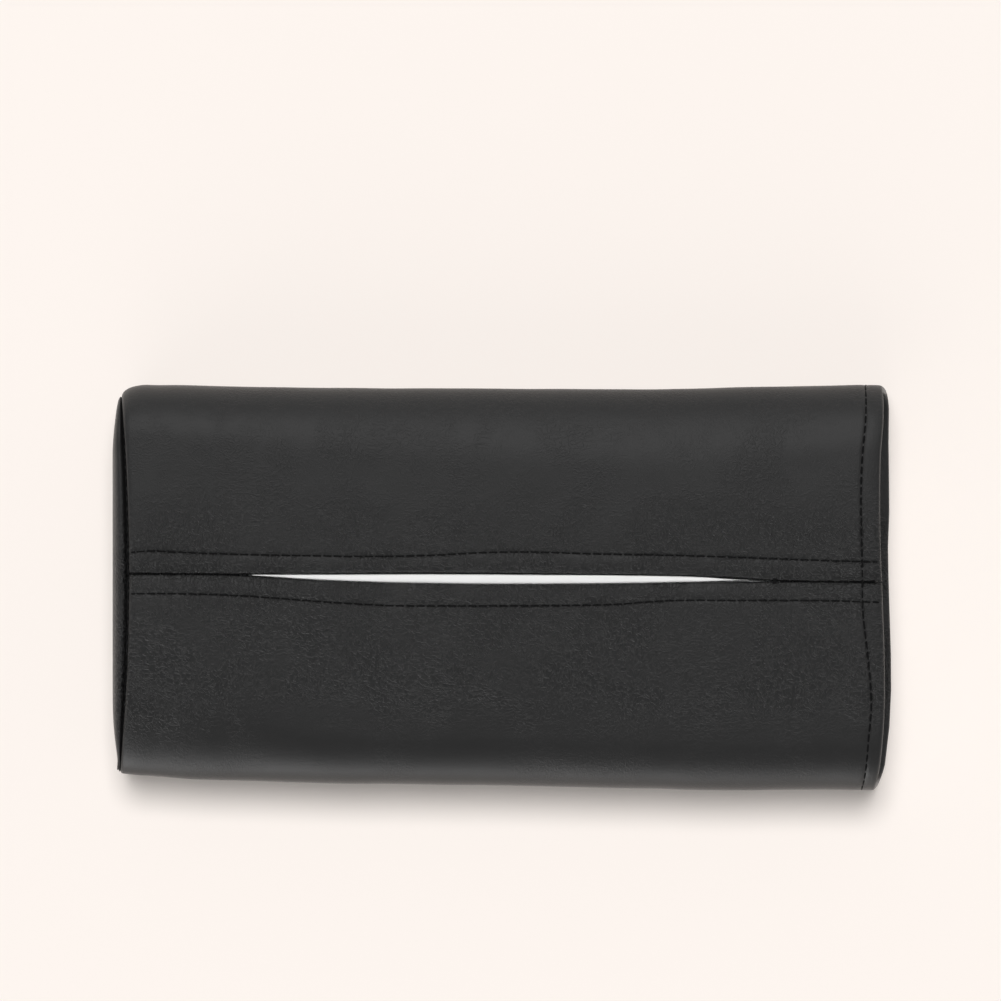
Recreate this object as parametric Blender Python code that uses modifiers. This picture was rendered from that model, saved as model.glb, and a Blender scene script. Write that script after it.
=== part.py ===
"""A soft leather sleeve that holds a carton of tissues.

One panel of leather wraps round the carton. Its two long edges are folded under and meet along the middle
of the top, where they leave a slit. The -X end is closed by a sewn-in end panel. The +X end is the open,
hemmed mouth that the carton slides in and out of.

Metres, +Z up, +Y towards the rear lip. The origin is the middle of the footprint, on the surface that the
holder stands on.
"""
import math
from collections import namedtuple

import bpy
import bmesh
from mathutils import Vector

# The whole cover
LENGTH = 0.240
WIDTH_SEWN = 0.120
WIDTH_MOUTH = 0.125
HEIGHT = 0.056
SEWN_SHIFT = 0.0023         # the sewn end sits this far to the rear of the mouth
GAP = 0.0003                # room between pieces that touch
MERGE = GAP / 10            # points nearer than this are one

# The leather and its folded edges
LEATHER = 0.0008
FOLD = LEATHER + GAP / 2    # radius of a folded edge, so two layers and their gap are 2 * FOLD thick
LIP_ALLOWANCE = 0.0090
HEM_ALLOWANCE = 0.0095
SEWN_ALLOWANCE = 0.0050
FOLD_STEPS = 6

# The cross-section
SHOULDER_WIDTH = 0.018
SHOULDER_HEIGHT = 0.012
SHOULDER_POWER = 2.5
SHOULDER_STEPS = 6
CROWN = 0.0010
BASE_RADIUS = 0.006
BASE_STEPS = 4
FLOOR_STEPS = 3
LIP_SINK = 0.0006
LIP_BAND = 0.008

# The two ends
SEWN_INSET = 0.0018
SEWN_BOW = 0.0034
SEWN_DRAW = 0.0015
LIP_LEAD = 0.0025
MOUTH_CORNER_SETBACK = 0.0035
MOUTH_DRAW = 0.0006
END_ZONE = 0.010
END_ROW_SHARE = 0.25
MOUTH_CORNER_POWER = 6

# The slit
SLIT_SEWN_MARGIN = 0.0416
SLIT_MOUTH_MARGIN = 0.0364
SLIT_LENGTH = LENGTH - SLIT_SEWN_MARGIN - SLIT_MOUTH_MARGIN
SLIT_MIDDLE = (SLIT_SEWN_MARGIN - SLIT_MOUTH_MARGIN) / 2
SLIT_WIDTH = 0.0039
SLIT_LINE_SEWN = 0.0039
SLIT_LINE_MOUTH = 0.0018
SLIT_POWER = 0.8
SLIT_STEPS = 10

# The sewing
THREAD = 0.0005
THREAD_RECESS = 0.0001
CHANNEL = THREAD + GAP + THREAD_RECESS
CHANNEL_HALF = 0.0020
LIP_STITCH = 0.0062
LIP_STITCH_START = 0.0045
HEM_STITCH = 0.0058
SEAM_THREAD_INSET = 0.0015
BARTACK = 0.0008
BARTACK_SPAN = 0.0040
BARTACK_OFFSET = 0.0010
THREAD_ROUNDNESS = 1        # bevel resolution of a thread, which gives six sides

# The end panel
PANEL_ALLOWANCE = 0.0050
PANEL_ROUND_POWER = 6
PANEL_RING_SHARES = (0.99, 0.96, 0.90, 0.80, 0.62, 0.35)

# The carton of tissues
CARD = 0.0006
CARTON_END_ROOM = 0.0007
CARTON_MOUTH_RECESS = 0.0065
CARTON_SIDE_ROOM = 0.0004
CARTON_FLOOR_ROOM = 0.0005
WINDOW_MARGIN = 0.004
WINDOW_WIDTH = 0.034
WINDOW_STEPS = 12
FILM = 0.0003
FILM_MARGIN = 0.008
FILM_SLIT_ROOM = 0.0004
STACK_ROOM = 0.002
STACK_DROP = 0.001
OVERRUN = 0.002             # how far a cutter runs past what it cuts

# The leading tissue
TISSUE = 0.0006
TISSUE_SHARE = 0.85
TISSUE_STAND = 0.0034
TISSUE_ARCH = 0.0010
TISSUE_FOOT = 0.005
TISSUE_ARCH_STEPS = 8

# Finishes: linear colour and roughness
Finish = namedtuple("Finish", "colour roughness")
BLACK_LEATHER = Finish((0.030, 0.030, 0.031), 0.50)
BLACK_THREAD = Finish((0.022, 0.022, 0.023), 0.60)
WHITE_CARD = Finish((0.80, 0.79, 0.76), 0.60)
CLEAR_FILM = Finish((0.78, 0.80, 0.82), 0.20)
WHITE_PAPER = Finish((0.88, 0.88, 0.87), 0.90)
SHARP_ANGLE = math.radians(40)

Plan = namedtuple("Plan", "rear front line")
Row = namedtuple("Row", "anchor offset lip_channel hem_channel")
Column = namedtuple("Column", "zone value side")


def blend(a, b, share):
    return a + (b - a) * share


def plan(x):
    """Y of the rear wall, of the front wall and of the slit line at x."""
    share = x / LENGTH + 0.5
    half = blend(WIDTH_SEWN, WIDTH_MOUTH, share) / 2
    shift = SEWN_SHIFT * (1 - share) ** 3
    return Plan(shift + half, shift - half, blend(SLIT_LINE_SEWN, SLIT_LINE_MOUTH, share))


def draw_in(x):
    """How far the leather is drawn in near the two ends."""
    sewn_share = max(0.0, 1 - (x + LENGTH / 2) / END_ZONE)
    mouth_share = max(0.0, 1 - (LENGTH / 2 - x) / END_ZONE)
    return SEWN_DRAW * sewn_share ** 2 + MOUTH_DRAW * mouth_share ** 2


def slit_half(x):
    """Half the distance between the two lips, which is half the gap where the slit is sewn shut."""
    share = (x - SLIT_MIDDLE) / (SLIT_LENGTH / 2)
    opening = max(0.0, 1 - share * share) ** SLIT_POWER
    return GAP / 2 + (SLIT_WIDTH - GAP) / 2 * opening


def top_height(x, out, reach):
    """Height of the top face at a distance out from the slit line, where the wall is at reach."""
    crown = CROWN * (out / (reach - SHOULDER_WIDTH)) ** 2
    sink = LIP_SINK * max(0.0, 1 - out / LIP_BAND) ** 2
    return HEIGHT - draw_in(x) - crown - sink


def section_point(x, column):
    """Y and Z of the outer face at x, and the Y and Z of the direction into the leather."""
    zone, value, side = column
    rear, front, line = plan(x)
    wall = rear if side > 0 else front
    reach = abs(wall - line) - draw_in(x)
    lip = slit_half(x)
    shoulder_z = HEIGHT - draw_in(x) - CROWN - SHOULDER_HEIGHT
    base_z = draw_in(x) + BASE_RADIUS
    inward = (0.0, -1.0)
    if zone == "under":
        out = lip + value
        height = top_height(x, out, reach) - 2 * FOLD
    elif zone == "fold":
        out = lip + FOLD - FOLD * math.cos(value)
        height = top_height(x, lip + FOLD, reach) - FOLD + FOLD * math.sin(value)
    elif zone == "top":
        out = lip + value
        height = top_height(x, out, reach)
    elif zone == "crown":
        out = blend(lip + LIP_ALLOWANCE + GAP, reach - SHOULDER_WIDTH, value)
        height = top_height(x, out, reach)
    elif zone == "shoulder":
        across = math.cos(value) ** (2 / SHOULDER_POWER)
        up = math.sin(value) ** (2 / SHOULDER_POWER)
        out = reach - SHOULDER_WIDTH + SHOULDER_WIDTH * across
        height = shoulder_z + SHOULDER_HEIGHT * up
        slope = Vector((across ** (SHOULDER_POWER - 1) / SHOULDER_WIDTH,
                        up ** (SHOULDER_POWER - 1) / SHOULDER_HEIGHT)).normalized()
        inward = (-slope.x, -slope.y)
    elif zone == "base":
        out = reach - BASE_RADIUS + BASE_RADIUS * math.cos(value)
        height = base_z - BASE_RADIUS * math.sin(value)
        inward = (-math.cos(value), math.sin(value))
    else:
        out = (reach - BASE_RADIUS) * value
        height = draw_in(x)
        inward = (0.0, 1.0)
    return line + side * out, height, side * inward[0], inward[1]


def skin(x, column, depth=0.0):
    """A point at a depth below the outer face."""
    y, z, inward_y, inward_z = section_point(x, column)
    return Vector((x, y + inward_y * depth, z + inward_z * depth))


def across_share(x, y):
    """Where y lies across the cover: -1 at the front wall, 1 at the rear wall."""
    place = plan(x)
    return (2 * y - place.rear - place.front) / (place.rear - place.front)


def sewn_rim(column):
    """X of the folded edge at the sewn end, which bows in between the corners."""
    y = section_point(-LENGTH / 2, column)[0]
    bow = SEWN_BOW * (1 - across_share(-LENGTH / 2, y) ** 2)
    return -LENGTH / 2 + SEWN_INSET + bow


def mouth_rim(column):
    """X of the folded edge at the mouth: its lower lip leads and its corners are set back."""
    y, z = section_point(LENGTH / 2, column)[:2]
    setback = MOUTH_CORNER_SETBACK * across_share(LENGTH / 2, y) ** MOUTH_CORNER_POWER
    return LENGTH / 2 - LIP_LEAD * z / HEIGHT - setback


def row_x(row, column):
    if row.anchor == "sewn":
        return sewn_rim(column) + row.offset
    if row.anchor == "mouth":
        return mouth_rim(column) - row.offset
    return row.offset


def side_columns(side):
    """The columns of one half: those of the double lip, then those from the notch to the floor."""
    steps = [math.pi * step / FOLD_STEPS - math.pi / 2 for step in range(1, FOLD_STEPS)]
    row_values = [LIP_STITCH - CHANNEL_HALF, LIP_STITCH, LIP_STITCH + CHANNEL_HALF, LIP_ALLOWANCE]
    lip = [Column("under", value, side) for value in reversed([FOLD] + row_values)]
    lip += [Column("fold", angle, side) for angle in steps]
    lip += [Column("top", value, side) for value in [FOLD] + row_values]
    quarter = math.pi / 2
    shell = [Column("crown", share, side) for share in (0.0, 0.5, 1.0)]
    shell += [Column("shoulder", quarter * (1 - step / SHOULDER_STEPS), side)
              for step in range(1, SHOULDER_STEPS + 1)]
    shell += [Column("base", quarter * step / BASE_STEPS, side) for step in range(BASE_STEPS + 1)]
    shell += [Column("floor", 1 - step / FLOOR_STEPS, side) for step in range(1, FLOOR_STEPS)]
    return lip, shell


REAR_LIP, REAR_SHELL = side_columns(1)
FRONT_LIP, FRONT_SHELL = side_columns(-1)
SHELL = REAR_SHELL + [Column("floor", 0.0, 1)] + FRONT_SHELL[::-1]
WRAP = REAR_LIP + SHELL + FRONT_LIP[::-1]
REAR_TOP = [column for column in REAR_LIP if column.zone == "top"]
FRONT_TOP = [column for column in FRONT_LIP if column.zone == "top"]
RING = REAR_TOP + SHELL + FRONT_TOP[::-1]
REAR_STITCH = Column("top", LIP_STITCH, 1)
FRONT_STITCH = Column("top", LIP_STITCH, -1)

SLIT_ROWS = [Row("place", SLIT_MIDDLE - SLIT_LENGTH / 2 * math.cos(math.pi * step / SLIT_STEPS), True, False)
             for step in range(SLIT_STEPS + 1)]
MAIN_ROWS = ([Row("sewn", FOLD, False, False),
              Row("sewn", END_ZONE * END_ROW_SHARE, False, False),
              Row("sewn", LIP_STITCH_START, True, False),
              Row("sewn", END_ZONE, True, False)]
             + SLIT_ROWS
             + [Row("mouth", HEM_STITCH + CHANNEL_HALF, True, False),
                Row("mouth", HEM_STITCH, False, True),
                Row("mouth", HEM_STITCH - CHANNEL_HALF, False, False),
                Row("mouth", FOLD, False, False)])


def channel_depth(row, column):
    """The stitching pulls the leather in along its rows."""
    on_lip_row = row.lip_channel and column.zone in ("top", "under") and column.value == LIP_STITCH
    return CHANNEL if on_lip_row or row.hem_channel else 0.0


def main_point(row, column):
    return skin(row_x(row, column), column, channel_depth(row, column))


def fold_points(rim, inwards, column):
    """The turned edge at a rim, from the outer face round to the inner layer."""
    points = []
    for step in range(1, FOLD_STEPS + 1):
        angle = math.pi * step / FOLD_STEPS
        x = rim + inwards * (FOLD - FOLD * math.sin(angle))
        points.append(skin(x, column, FOLD - FOLD * math.cos(angle)))
    return points


def sewn_turn(column):
    """The points of the edge folded under at the sewn end, from its cut edge to the outer face."""
    rim = sewn_rim(column)
    cut_edge = skin(rim + SEWN_ALLOWANCE, column, 2 * FOLD)
    return [cut_edge] + fold_points(rim, 1, column)[::-1]


def mouth_turn(column):
    """The points of the hem, from the outer face to its cut edge."""
    rim = mouth_rim(column)
    inner = [(HEM_STITCH - CHANNEL_HALF, 0.0), (HEM_STITCH, CHANNEL),
             (HEM_STITCH + CHANNEL_HALF, 0.0), (HEM_ALLOWANCE, 0.0)]
    layer = [skin(rim - offset, column, 2 * FOLD + channel) for offset, channel in inner]
    return fold_points(rim, -1, column) + layer


def add_strip(mesh, lines):
    """Faces between neighbouring lines of vertices, facing out where the lines run round the cover."""
    for line, following in zip(lines, lines[1:]):
        for index in range(len(line) - 1):
            mesh.faces.new((line[index], following[index], following[index + 1], line[index + 1]))


def new_material(name, finish):
    material = bpy.data.materials.new(name)
    material.use_nodes = True
    shader = material.node_tree.nodes["Principled BSDF"]
    shader.inputs["Base Color"].default_value = (*finish.colour, 1.0)
    shader.inputs["Roughness"].default_value = finish.roughness
    shader.inputs["Metallic"].default_value = 0.0
    return material


def add_object(name, data, material, parent=None, collection=None):
    thing = bpy.data.objects.new(name, data)
    (collection or PARTS).objects.link(thing)
    if material:
        thing.data.materials.append(material)
    if parent:
        thing.parent = parent
        thing.matrix_parent_inverse = parent.matrix_world.inverted()
    return thing


def finish_mesh(mesh, name):
    data = bpy.data.meshes.new(name)
    mesh.to_mesh(data)
    mesh.free()
    data.shade_smooth()
    data.set_sharp_from_angle(angle=SHARP_ANGLE)
    return data


def add_wall(thing, thickness):
    """Gives an open sheet its thickness, behind its face."""
    wall = thing.modifiers.new("Thickness", "SOLIDIFY")
    wall.thickness = thickness
    wall.offset = -1
    wall.use_even_offset = True


def make_sleeve(material):
    """The wrap: one sheet with its lips, its hem and its sewn edge folded under."""
    mesh = bmesh.new()
    main = [[mesh.verts.new(main_point(row, column)) for column in WRAP] for row in MAIN_ROWS]
    add_strip(mesh, main)
    first = WRAP.index(SHELL[0])
    last = first + len(SHELL)
    sewn = [[mesh.verts.new(point) for point in line] for line in zip(*map(sewn_turn, SHELL))]
    mouth = [[mesh.verts.new(point) for point in line] for line in zip(*map(mouth_turn, SHELL))]
    add_strip(mesh, sewn + [main[0][first:last]])
    add_strip(mesh, [main[-1][first:last]] + mouth)
    for part in (slice(0, first), slice(last, None)):
        sewn_tip = [mesh.verts.new(skin(sewn_rim(column), column)) for column in WRAP[part]]
        mouth_tip = [mesh.verts.new(skin(mouth_rim(column), column)) for column in WRAP[part]]
        add_strip(mesh, [sewn_tip, main[0][part]])
        add_strip(mesh, [main[-1][part], mouth_tip])
    sleeve = add_object("leather_sleeve", finish_mesh(mesh, "leather_sleeve"), material)
    add_wall(sleeve, LEATHER)


def make_end_panel(material):
    """The domed panel that closes the sewn end, with its allowance turned in beside the sleeve's."""
    depth = 2 * FOLD + GAP
    face_x = -LENGTH / 2
    place = plan(face_x)
    middle = Vector((face_x, (place.rear + place.front) / 2, HEIGHT / 2))
    edge = [skin(sewn_rim(column) + FOLD, column, depth) for column in RING]
    rings = [edge]
    for share in PANEL_RING_SHARES:
        bulge = math.sqrt(1 - share ** PANEL_ROUND_POWER)
        ring = []
        for point in edge:
            across = middle.lerp(point, share)
            across.x = blend(point.x, face_x, bulge)
            ring.append(across)
        rings.append(ring)
    mesh = bmesh.new()
    lines = [[mesh.verts.new(point) for point in ring] for ring in rings]
    for line in lines:
        line.append(line[0])
    add_strip(mesh, lines[::-1])
    hub = mesh.verts.new(middle)
    for index in range(len(RING)):
        mesh.faces.new((lines[-1][index + 1], hub, lines[-1][index]))
    first = RING.index(SHELL[0])
    last = first + len(SHELL)
    flange = [mesh.verts.new(skin(sewn_rim(column) + PANEL_ALLOWANCE, column, depth)) for column in SHELL]
    add_strip(mesh, [lines[0][first:last], flange])
    panel = add_object("left_end_panel", finish_mesh(mesh, "left_end_panel"), material)
    add_wall(panel, LEATHER)


def add_thread(name, points, material, diameter=THREAD, closed=False):
    """A round thread along a line of points."""
    curve = bpy.data.curves.new(name, "CURVE")
    curve.dimensions = "3D"
    curve.bevel_depth = diameter / 2
    curve.bevel_resolution = THREAD_ROUNDNESS
    curve.use_fill_caps = True
    spline = curve.splines.new("POLY")
    spline.points.add(len(points) - 1)
    for knot, point in zip(spline.points, points):
        knot.co = (*point, 1.0)
    spline.use_cyclic_u = closed
    add_object(name, curve, material)


def make_topstitching(material):
    """The rows beside the slit and round the mouth, each sunk in its channel."""
    sunk = CHANNEL - GAP - THREAD / 2
    rows = [row for row in MAIN_ROWS if row.lip_channel]
    for name, column in (("rear_topstitch", REAR_STITCH), ("front_topstitch", FRONT_STITCH)):
        stop = mouth_rim(column) - HEM_STITCH - THREAD - GAP
        places = [row_x(row, column) for row in rows]
        places[-1] = stop
        add_thread(name, [skin(x, column, sunk) for x in places], material)
    ring = [skin(mouth_rim(column) - HEM_STITCH, column, sunk) for column in RING]
    add_thread("mouth_topstitch", ring, material, closed=True)


def make_end_seam_thread(material):
    """The seam that joins the end panel, at the bottom of the groove between the two leathers."""
    depth = 2 * FOLD - THREAD / 2
    clear = FOLD + GAP + THREAD / 2
    back = math.sqrt(clear ** 2 - (depth - FOLD) ** 2) - FOLD
    ring = [skin(sewn_rim(column) - back, column, depth) for column in RING]
    add_thread("end_seam_thread", ring, material, closed=True)


def lip_top(x, lift):
    """A point over the slit line, lifted above the tops of the two lips."""
    place = plan(x)
    out = slit_half(x) + FOLD
    return Vector((x, place.line, top_height(x, out, place.rear - place.line) + lift))


def make_centre_seam(material):
    """The thread in the closed parts of the slit line, and a bar across it at each end of the slit."""
    clear = FOLD + GAP + THREAD / 2
    lift = math.sqrt(clear ** 2 - (FOLD + GAP / 2) ** 2) - FOLD
    start = sewn_rim(REAR_TOP[0]) + SEAM_THREAD_INSET
    stop = mouth_rim(REAR_TOP[0]) - HEM_STITCH - THREAD - GAP
    room = BARTACK / 2 + GAP + THREAD / 2
    for name, direction, far_x in (("left", -1, start), ("right", 1, stop)):
        bar_x = SLIT_MIDDLE + direction * (SLIT_LENGTH / 2 + BARTACK_OFFSET)
        near_x = bar_x + direction * (room + THREAD / 2)
        places = [blend(near_x, far_x, share) for share in (0.0, 0.5, 1.0)]
        add_thread("centre_seam_" + name, [lip_top(x, lift) for x in places], material)
        bar = lip_top(bar_x, GAP + BARTACK / 2)
        half_span = Vector((0.0, BARTACK_SPAN / 2, 0.0))
        add_thread("slit_bartack_" + name, [bar - half_span, bar + half_span], material, BARTACK)


def inside_wall(x, side, low_z, high_z, depth):
    """Y that a box from low_z to high_z can reach inside a wall, under leather of the given depth."""
    place = plan(x)
    wall = (place.rear if side > 0 else place.front) - side * draw_in(x)
    shoulder_z = HEIGHT - draw_in(x) - CROWN - SHOULDER_HEIGHT
    up = max(0.0, high_z - shoulder_z) / (SHOULDER_HEIGHT - depth)
    across = max(0.0, 1 - up ** SHOULDER_POWER) ** (1 / SHOULDER_POWER)
    shoulder = SHOULDER_WIDTH - (SHOULDER_WIDTH - depth) * across
    down = max(0.0, BASE_RADIUS + draw_in(x) - low_z) / (BASE_RADIUS - depth)
    corner = BASE_RADIUS - (BASE_RADIUS - depth) * math.sqrt(max(0.0, 1 - down ** 2))
    return wall - side * max(shoulder, corner)


def carton_box():
    """The lowest and highest corners of the carton: as large as passes the hem and clears the sewn end."""
    low_x = -LENGTH / 2 + SEWN_INSET + SEWN_BOW + max(PANEL_ALLOWANCE, SEWN_ALLOWANCE) + CARTON_END_ROOM
    high_x = LENGTH / 2 - LIP_LEAD - CARTON_MOUTH_RECESS
    low_z = 2 * FOLD + CHANNEL + CARTON_FLOOR_ROOM
    high_z = tissue_crest() - TISSUE_STAND
    mouth = (LENGTH / 2, 2 * FOLD + CHANNEL)
    sewn = (low_x, LEATHER)
    rear = min(inside_wall(x, 1, low_z, high_z, depth) for x, depth in (mouth, sewn)) - CARTON_SIDE_ROOM
    front = max(inside_wall(x, -1, low_z, high_z, depth) for x, depth in (mouth, sewn)) + CARTON_SIDE_ROOM
    return Vector((low_x, front, low_z)), Vector((high_x, rear, high_z))


def tissue_crest():
    """Height of the leading tissue, which has to pass under the lips and the hem's stitching."""
    return HEIGHT - LIP_SINK - MOUTH_DRAW - 2 * FOLD - CHANNEL - GAP


def add_box(name, low, high, material=None, parent=None, collection=None):
    bpy.ops.mesh.primitive_cube_add(size=1.0, location=(low + high) / 2)
    box = bpy.context.object
    box.name = name
    box.data.name = name
    box.scale = high - low
    bpy.ops.object.transform_apply(location=False, rotation=False, scale=True)
    for owner in box.users_collection:
        owner.objects.unlink(box)
    (collection or PARTS).objects.link(box)
    if material:
        box.data.materials.append(material)
    if parent:
        box.parent = parent
        box.matrix_parent_inverse = parent.matrix_world.inverted()
    return box


def add_stadium(name, length, width, low_z, high_z, material=None, parent=None, collection=None):
    """A plate with round ends, centred on the slit and turned with its line."""
    curve = bpy.data.curves.new(name, "CURVE")
    curve.dimensions = "2D"
    curve.fill_mode = "BOTH"
    curve.extrude = (high_z - low_z) / 2
    spline = curve.splines.new("POLY")
    radius = width / 2
    points = []
    for end in (1, -1):
        for step in range(WINDOW_STEPS + 1):
            angle = math.pi * step / WINDOW_STEPS - math.pi / 2
            points.append((end * (length / 2 - radius + radius * math.cos(angle)),
                           end * radius * math.sin(angle)))
    spline.points.add(len(points) - 1)
    for knot, point in zip(spline.points, points):
        knot.co = (*point, 0.0, 1.0)
    spline.use_cyclic_u = True
    drawn = add_object(name + "_outline", curve, None, collection=collection)
    drawn.location = (SLIT_MIDDLE, plan(SLIT_MIDDLE).line, (low_z + high_z) / 2)
    drawn.rotation_euler.z = SLIT_TURN
    bpy.context.view_layer.update()
    graph = bpy.context.evaluated_depsgraph_get()
    data = bpy.data.meshes.new_from_object(drawn.evaluated_get(graph))
    mesh = bmesh.new()
    mesh.from_mesh(data)
    bmesh.ops.remove_doubles(mesh, verts=mesh.verts, dist=MERGE)
    mesh.to_mesh(data)
    mesh.free()
    place = drawn.matrix_world.copy()
    bpy.data.objects.remove(drawn)
    data.name = name
    plate = add_object(name, data, material, collection=collection)
    plate.matrix_world = place
    if parent:
        plate.parent = parent
        plate.matrix_parent_inverse = parent.matrix_world.inverted()
    return plate


def cut(thing, cutter):
    cutter.hide_render = True
    cutter.display_type = "WIRE"
    cutting = thing.modifiers.new("Cut", "BOOLEAN")
    cutting.operation = "DIFFERENCE"
    cutting.solver = "EXACT"
    cutting.object = cutter


def add_slot_cutter(name, length, width, low_z, high_z):
    """An upright slot on the slit line, for the leading tissue."""
    half = Vector((length, width, high_z - low_z)) / 2
    cutter = add_box(name, -half, half, collection=CUTTERS)
    cutter.location = (SLIT_MIDDLE, plan(SLIT_MIDDLE).line, (low_z + high_z) / 2)
    cutter.rotation_euler.z = SLIT_TURN
    return cutter


def make_refill(low, high, card, film, paper, holder):
    """The carton with its window, the slit film under it and the tissues inside."""
    wall = Vector((CARD, CARD, CARD))
    carton = add_box("refill_carton", low, high, card, holder)
    cut(carton, add_box("carton_inside", low + wall, high - wall, collection=CUTTERS))
    window_length = SLIT_LENGTH + 2 * WINDOW_MARGIN
    window = add_stadium("carton_window", window_length, WINDOW_WIDTH,
                         high.z - CARD - OVERRUN, high.z + OVERRUN, collection=CUTTERS)
    cut(carton, window)

    film_top = high.z - CARD - GAP
    sheet = add_stadium("window_film", window_length + 2 * FILM_MARGIN, WINDOW_WIDTH + 2 * FILM_MARGIN,
                        film_top - FILM, film_top, film, holder)
    tissue_length = SLIT_LENGTH * TISSUE_SHARE
    cut(sheet, add_slot_cutter("film_slit", tissue_length + 2 * FILM_SLIT_ROOM, TISSUE + 2 * FILM_SLIT_ROOM,
                               film_top - FILM - OVERRUN, film_top + OVERRUN))

    stack_low = Vector((low.x + CARD + STACK_ROOM, low.y + CARD + STACK_ROOM, low.z + CARD + GAP))
    stack_top = film_top - FILM - STACK_DROP
    stack_high = Vector((high.x - CARD - STACK_ROOM, high.y - CARD - STACK_ROOM, stack_top))
    stack = add_box("tissue_stack", stack_low, stack_high, paper, holder)
    cut(stack, add_slot_cutter("stack_fold", tissue_length + 2 * GAP, TISSUE + 2 * GAP,
                               low.z + CARD + TISSUE_FOOT - GAP, stack_top + OVERRUN))


def make_leading_tissue(paper, holder, foot):
    """The sheet that waits in the slit: upright, a little arched along its top edge."""
    crest = tissue_crest()
    half = SLIT_LENGTH * TISSUE_SHARE / 2
    outline = [(-half, foot), (half, foot)]
    for step in range(TISSUE_ARCH_STEPS + 1):
        share = 1 - 2 * step / TISSUE_ARCH_STEPS
        outline.append((half * share, crest - TISSUE_ARCH * share ** 2))
    curve = bpy.data.curves.new("leading_tissue", "CURVE")
    curve.dimensions = "2D"
    curve.fill_mode = "BOTH"
    curve.extrude = TISSUE / 2
    spline = curve.splines.new("POLY")
    spline.points.add(len(outline) - 1)
    for knot, (across, up) in zip(spline.points, outline):
        knot.co = (across, up, 0.0, 1.0)
    spline.use_cyclic_u = True
    sheet = add_object("leading_tissue", curve, paper)
    sheet.location = (SLIT_MIDDLE, plan(SLIT_MIDDLE).line, 0.0)
    sheet.rotation_euler = (math.pi / 2, 0.0, SLIT_TURN)
    bpy.context.view_layer.update()
    sheet.parent = holder
    sheet.matrix_parent_inverse = holder.matrix_world.inverted()


def add_empty(name, location, parent=None):
    """Marks the place that a moving body slides from."""
    empty = bpy.data.objects.new(name, None)
    PARTS.objects.link(empty)
    empty.location = location
    if parent:
        empty.parent = parent
        empty.matrix_parent_inverse = parent.matrix_world.inverted()
    bpy.context.view_layer.update()
    return empty


for thing in list(bpy.data.objects):
    bpy.data.objects.remove(thing, do_unlink=True)
PARTS = bpy.data.collections.new("tissue_box_holder")
CUTTERS = bpy.data.collections.new("cutters")
bpy.context.scene.collection.children.link(PARTS)
bpy.context.scene.collection.children.link(CUTTERS)
SLIT_TURN = math.atan2(SLIT_LINE_MOUTH - SLIT_LINE_SEWN, LENGTH)

leather = new_material("black_leather", BLACK_LEATHER)
thread = new_material("black_thread", BLACK_THREAD)
make_sleeve(leather)
make_end_panel(leather)
make_topstitching(thread)
make_end_seam_thread(thread)
make_centre_seam(thread)

carton_low, carton_high = carton_box()
refill_slide = add_empty("refill_slide", (carton_low + carton_high) / 2)
card = new_material("white_card", WHITE_CARD)
film = new_material("clear_film", CLEAR_FILM)
paper = new_material("white_paper", WHITE_PAPER)
make_refill(carton_low, carton_high, card, film, paper, refill_slide)
slit_place = Vector((SLIT_MIDDLE, plan(SLIT_MIDDLE).line, tissue_crest()))
tissue_pull = add_empty("tissue_pull", slit_place, refill_slide)
make_leading_tissue(paper, tissue_pull, carton_low.z + CARD + TISSUE_FOOT)
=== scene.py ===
# %% [markdown]
# # A black leather holder for a carton of tissues
# The real object is one panel of soft, grained leather, wrapped round a flat carton of tissues. Its two
# long edges are folded under and meet along the middle of the top, where a stretch is left open as the
# slit. One end is closed by a sewn-in end panel. The other is an open, hemmed mouth. This notebook dresses
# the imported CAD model, piece by piece. That model says what each piece is and where it stands, so it is
# loaded first.
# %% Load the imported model
import math
import random
from collections import namedtuple

import bmesh
import bpy
import numpy as np
from mathutils import Matrix, Vector, noise


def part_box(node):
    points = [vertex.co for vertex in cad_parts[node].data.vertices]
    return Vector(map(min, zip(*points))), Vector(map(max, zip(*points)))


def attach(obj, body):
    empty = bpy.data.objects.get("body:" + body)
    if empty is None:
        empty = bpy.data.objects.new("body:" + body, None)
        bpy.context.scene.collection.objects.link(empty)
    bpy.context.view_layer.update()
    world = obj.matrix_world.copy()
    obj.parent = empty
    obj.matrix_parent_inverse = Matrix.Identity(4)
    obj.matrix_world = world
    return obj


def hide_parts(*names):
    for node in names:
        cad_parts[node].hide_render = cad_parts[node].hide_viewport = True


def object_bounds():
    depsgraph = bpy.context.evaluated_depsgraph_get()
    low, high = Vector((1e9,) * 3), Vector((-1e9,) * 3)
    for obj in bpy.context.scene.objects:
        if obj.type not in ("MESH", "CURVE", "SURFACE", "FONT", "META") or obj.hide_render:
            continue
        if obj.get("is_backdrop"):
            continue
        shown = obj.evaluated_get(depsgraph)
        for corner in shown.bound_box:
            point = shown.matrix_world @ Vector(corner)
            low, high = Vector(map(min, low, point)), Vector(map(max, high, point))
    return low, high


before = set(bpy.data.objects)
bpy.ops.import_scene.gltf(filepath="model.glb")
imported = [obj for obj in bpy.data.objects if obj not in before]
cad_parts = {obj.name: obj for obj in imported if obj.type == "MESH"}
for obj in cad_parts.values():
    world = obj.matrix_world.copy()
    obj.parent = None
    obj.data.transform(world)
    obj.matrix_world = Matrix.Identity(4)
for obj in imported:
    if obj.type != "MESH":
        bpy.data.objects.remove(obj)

CAD_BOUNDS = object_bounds()
print("CAD box:", [tuple(round(value, 4) for value in corner) for corner in CAD_BOUNDS])

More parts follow.
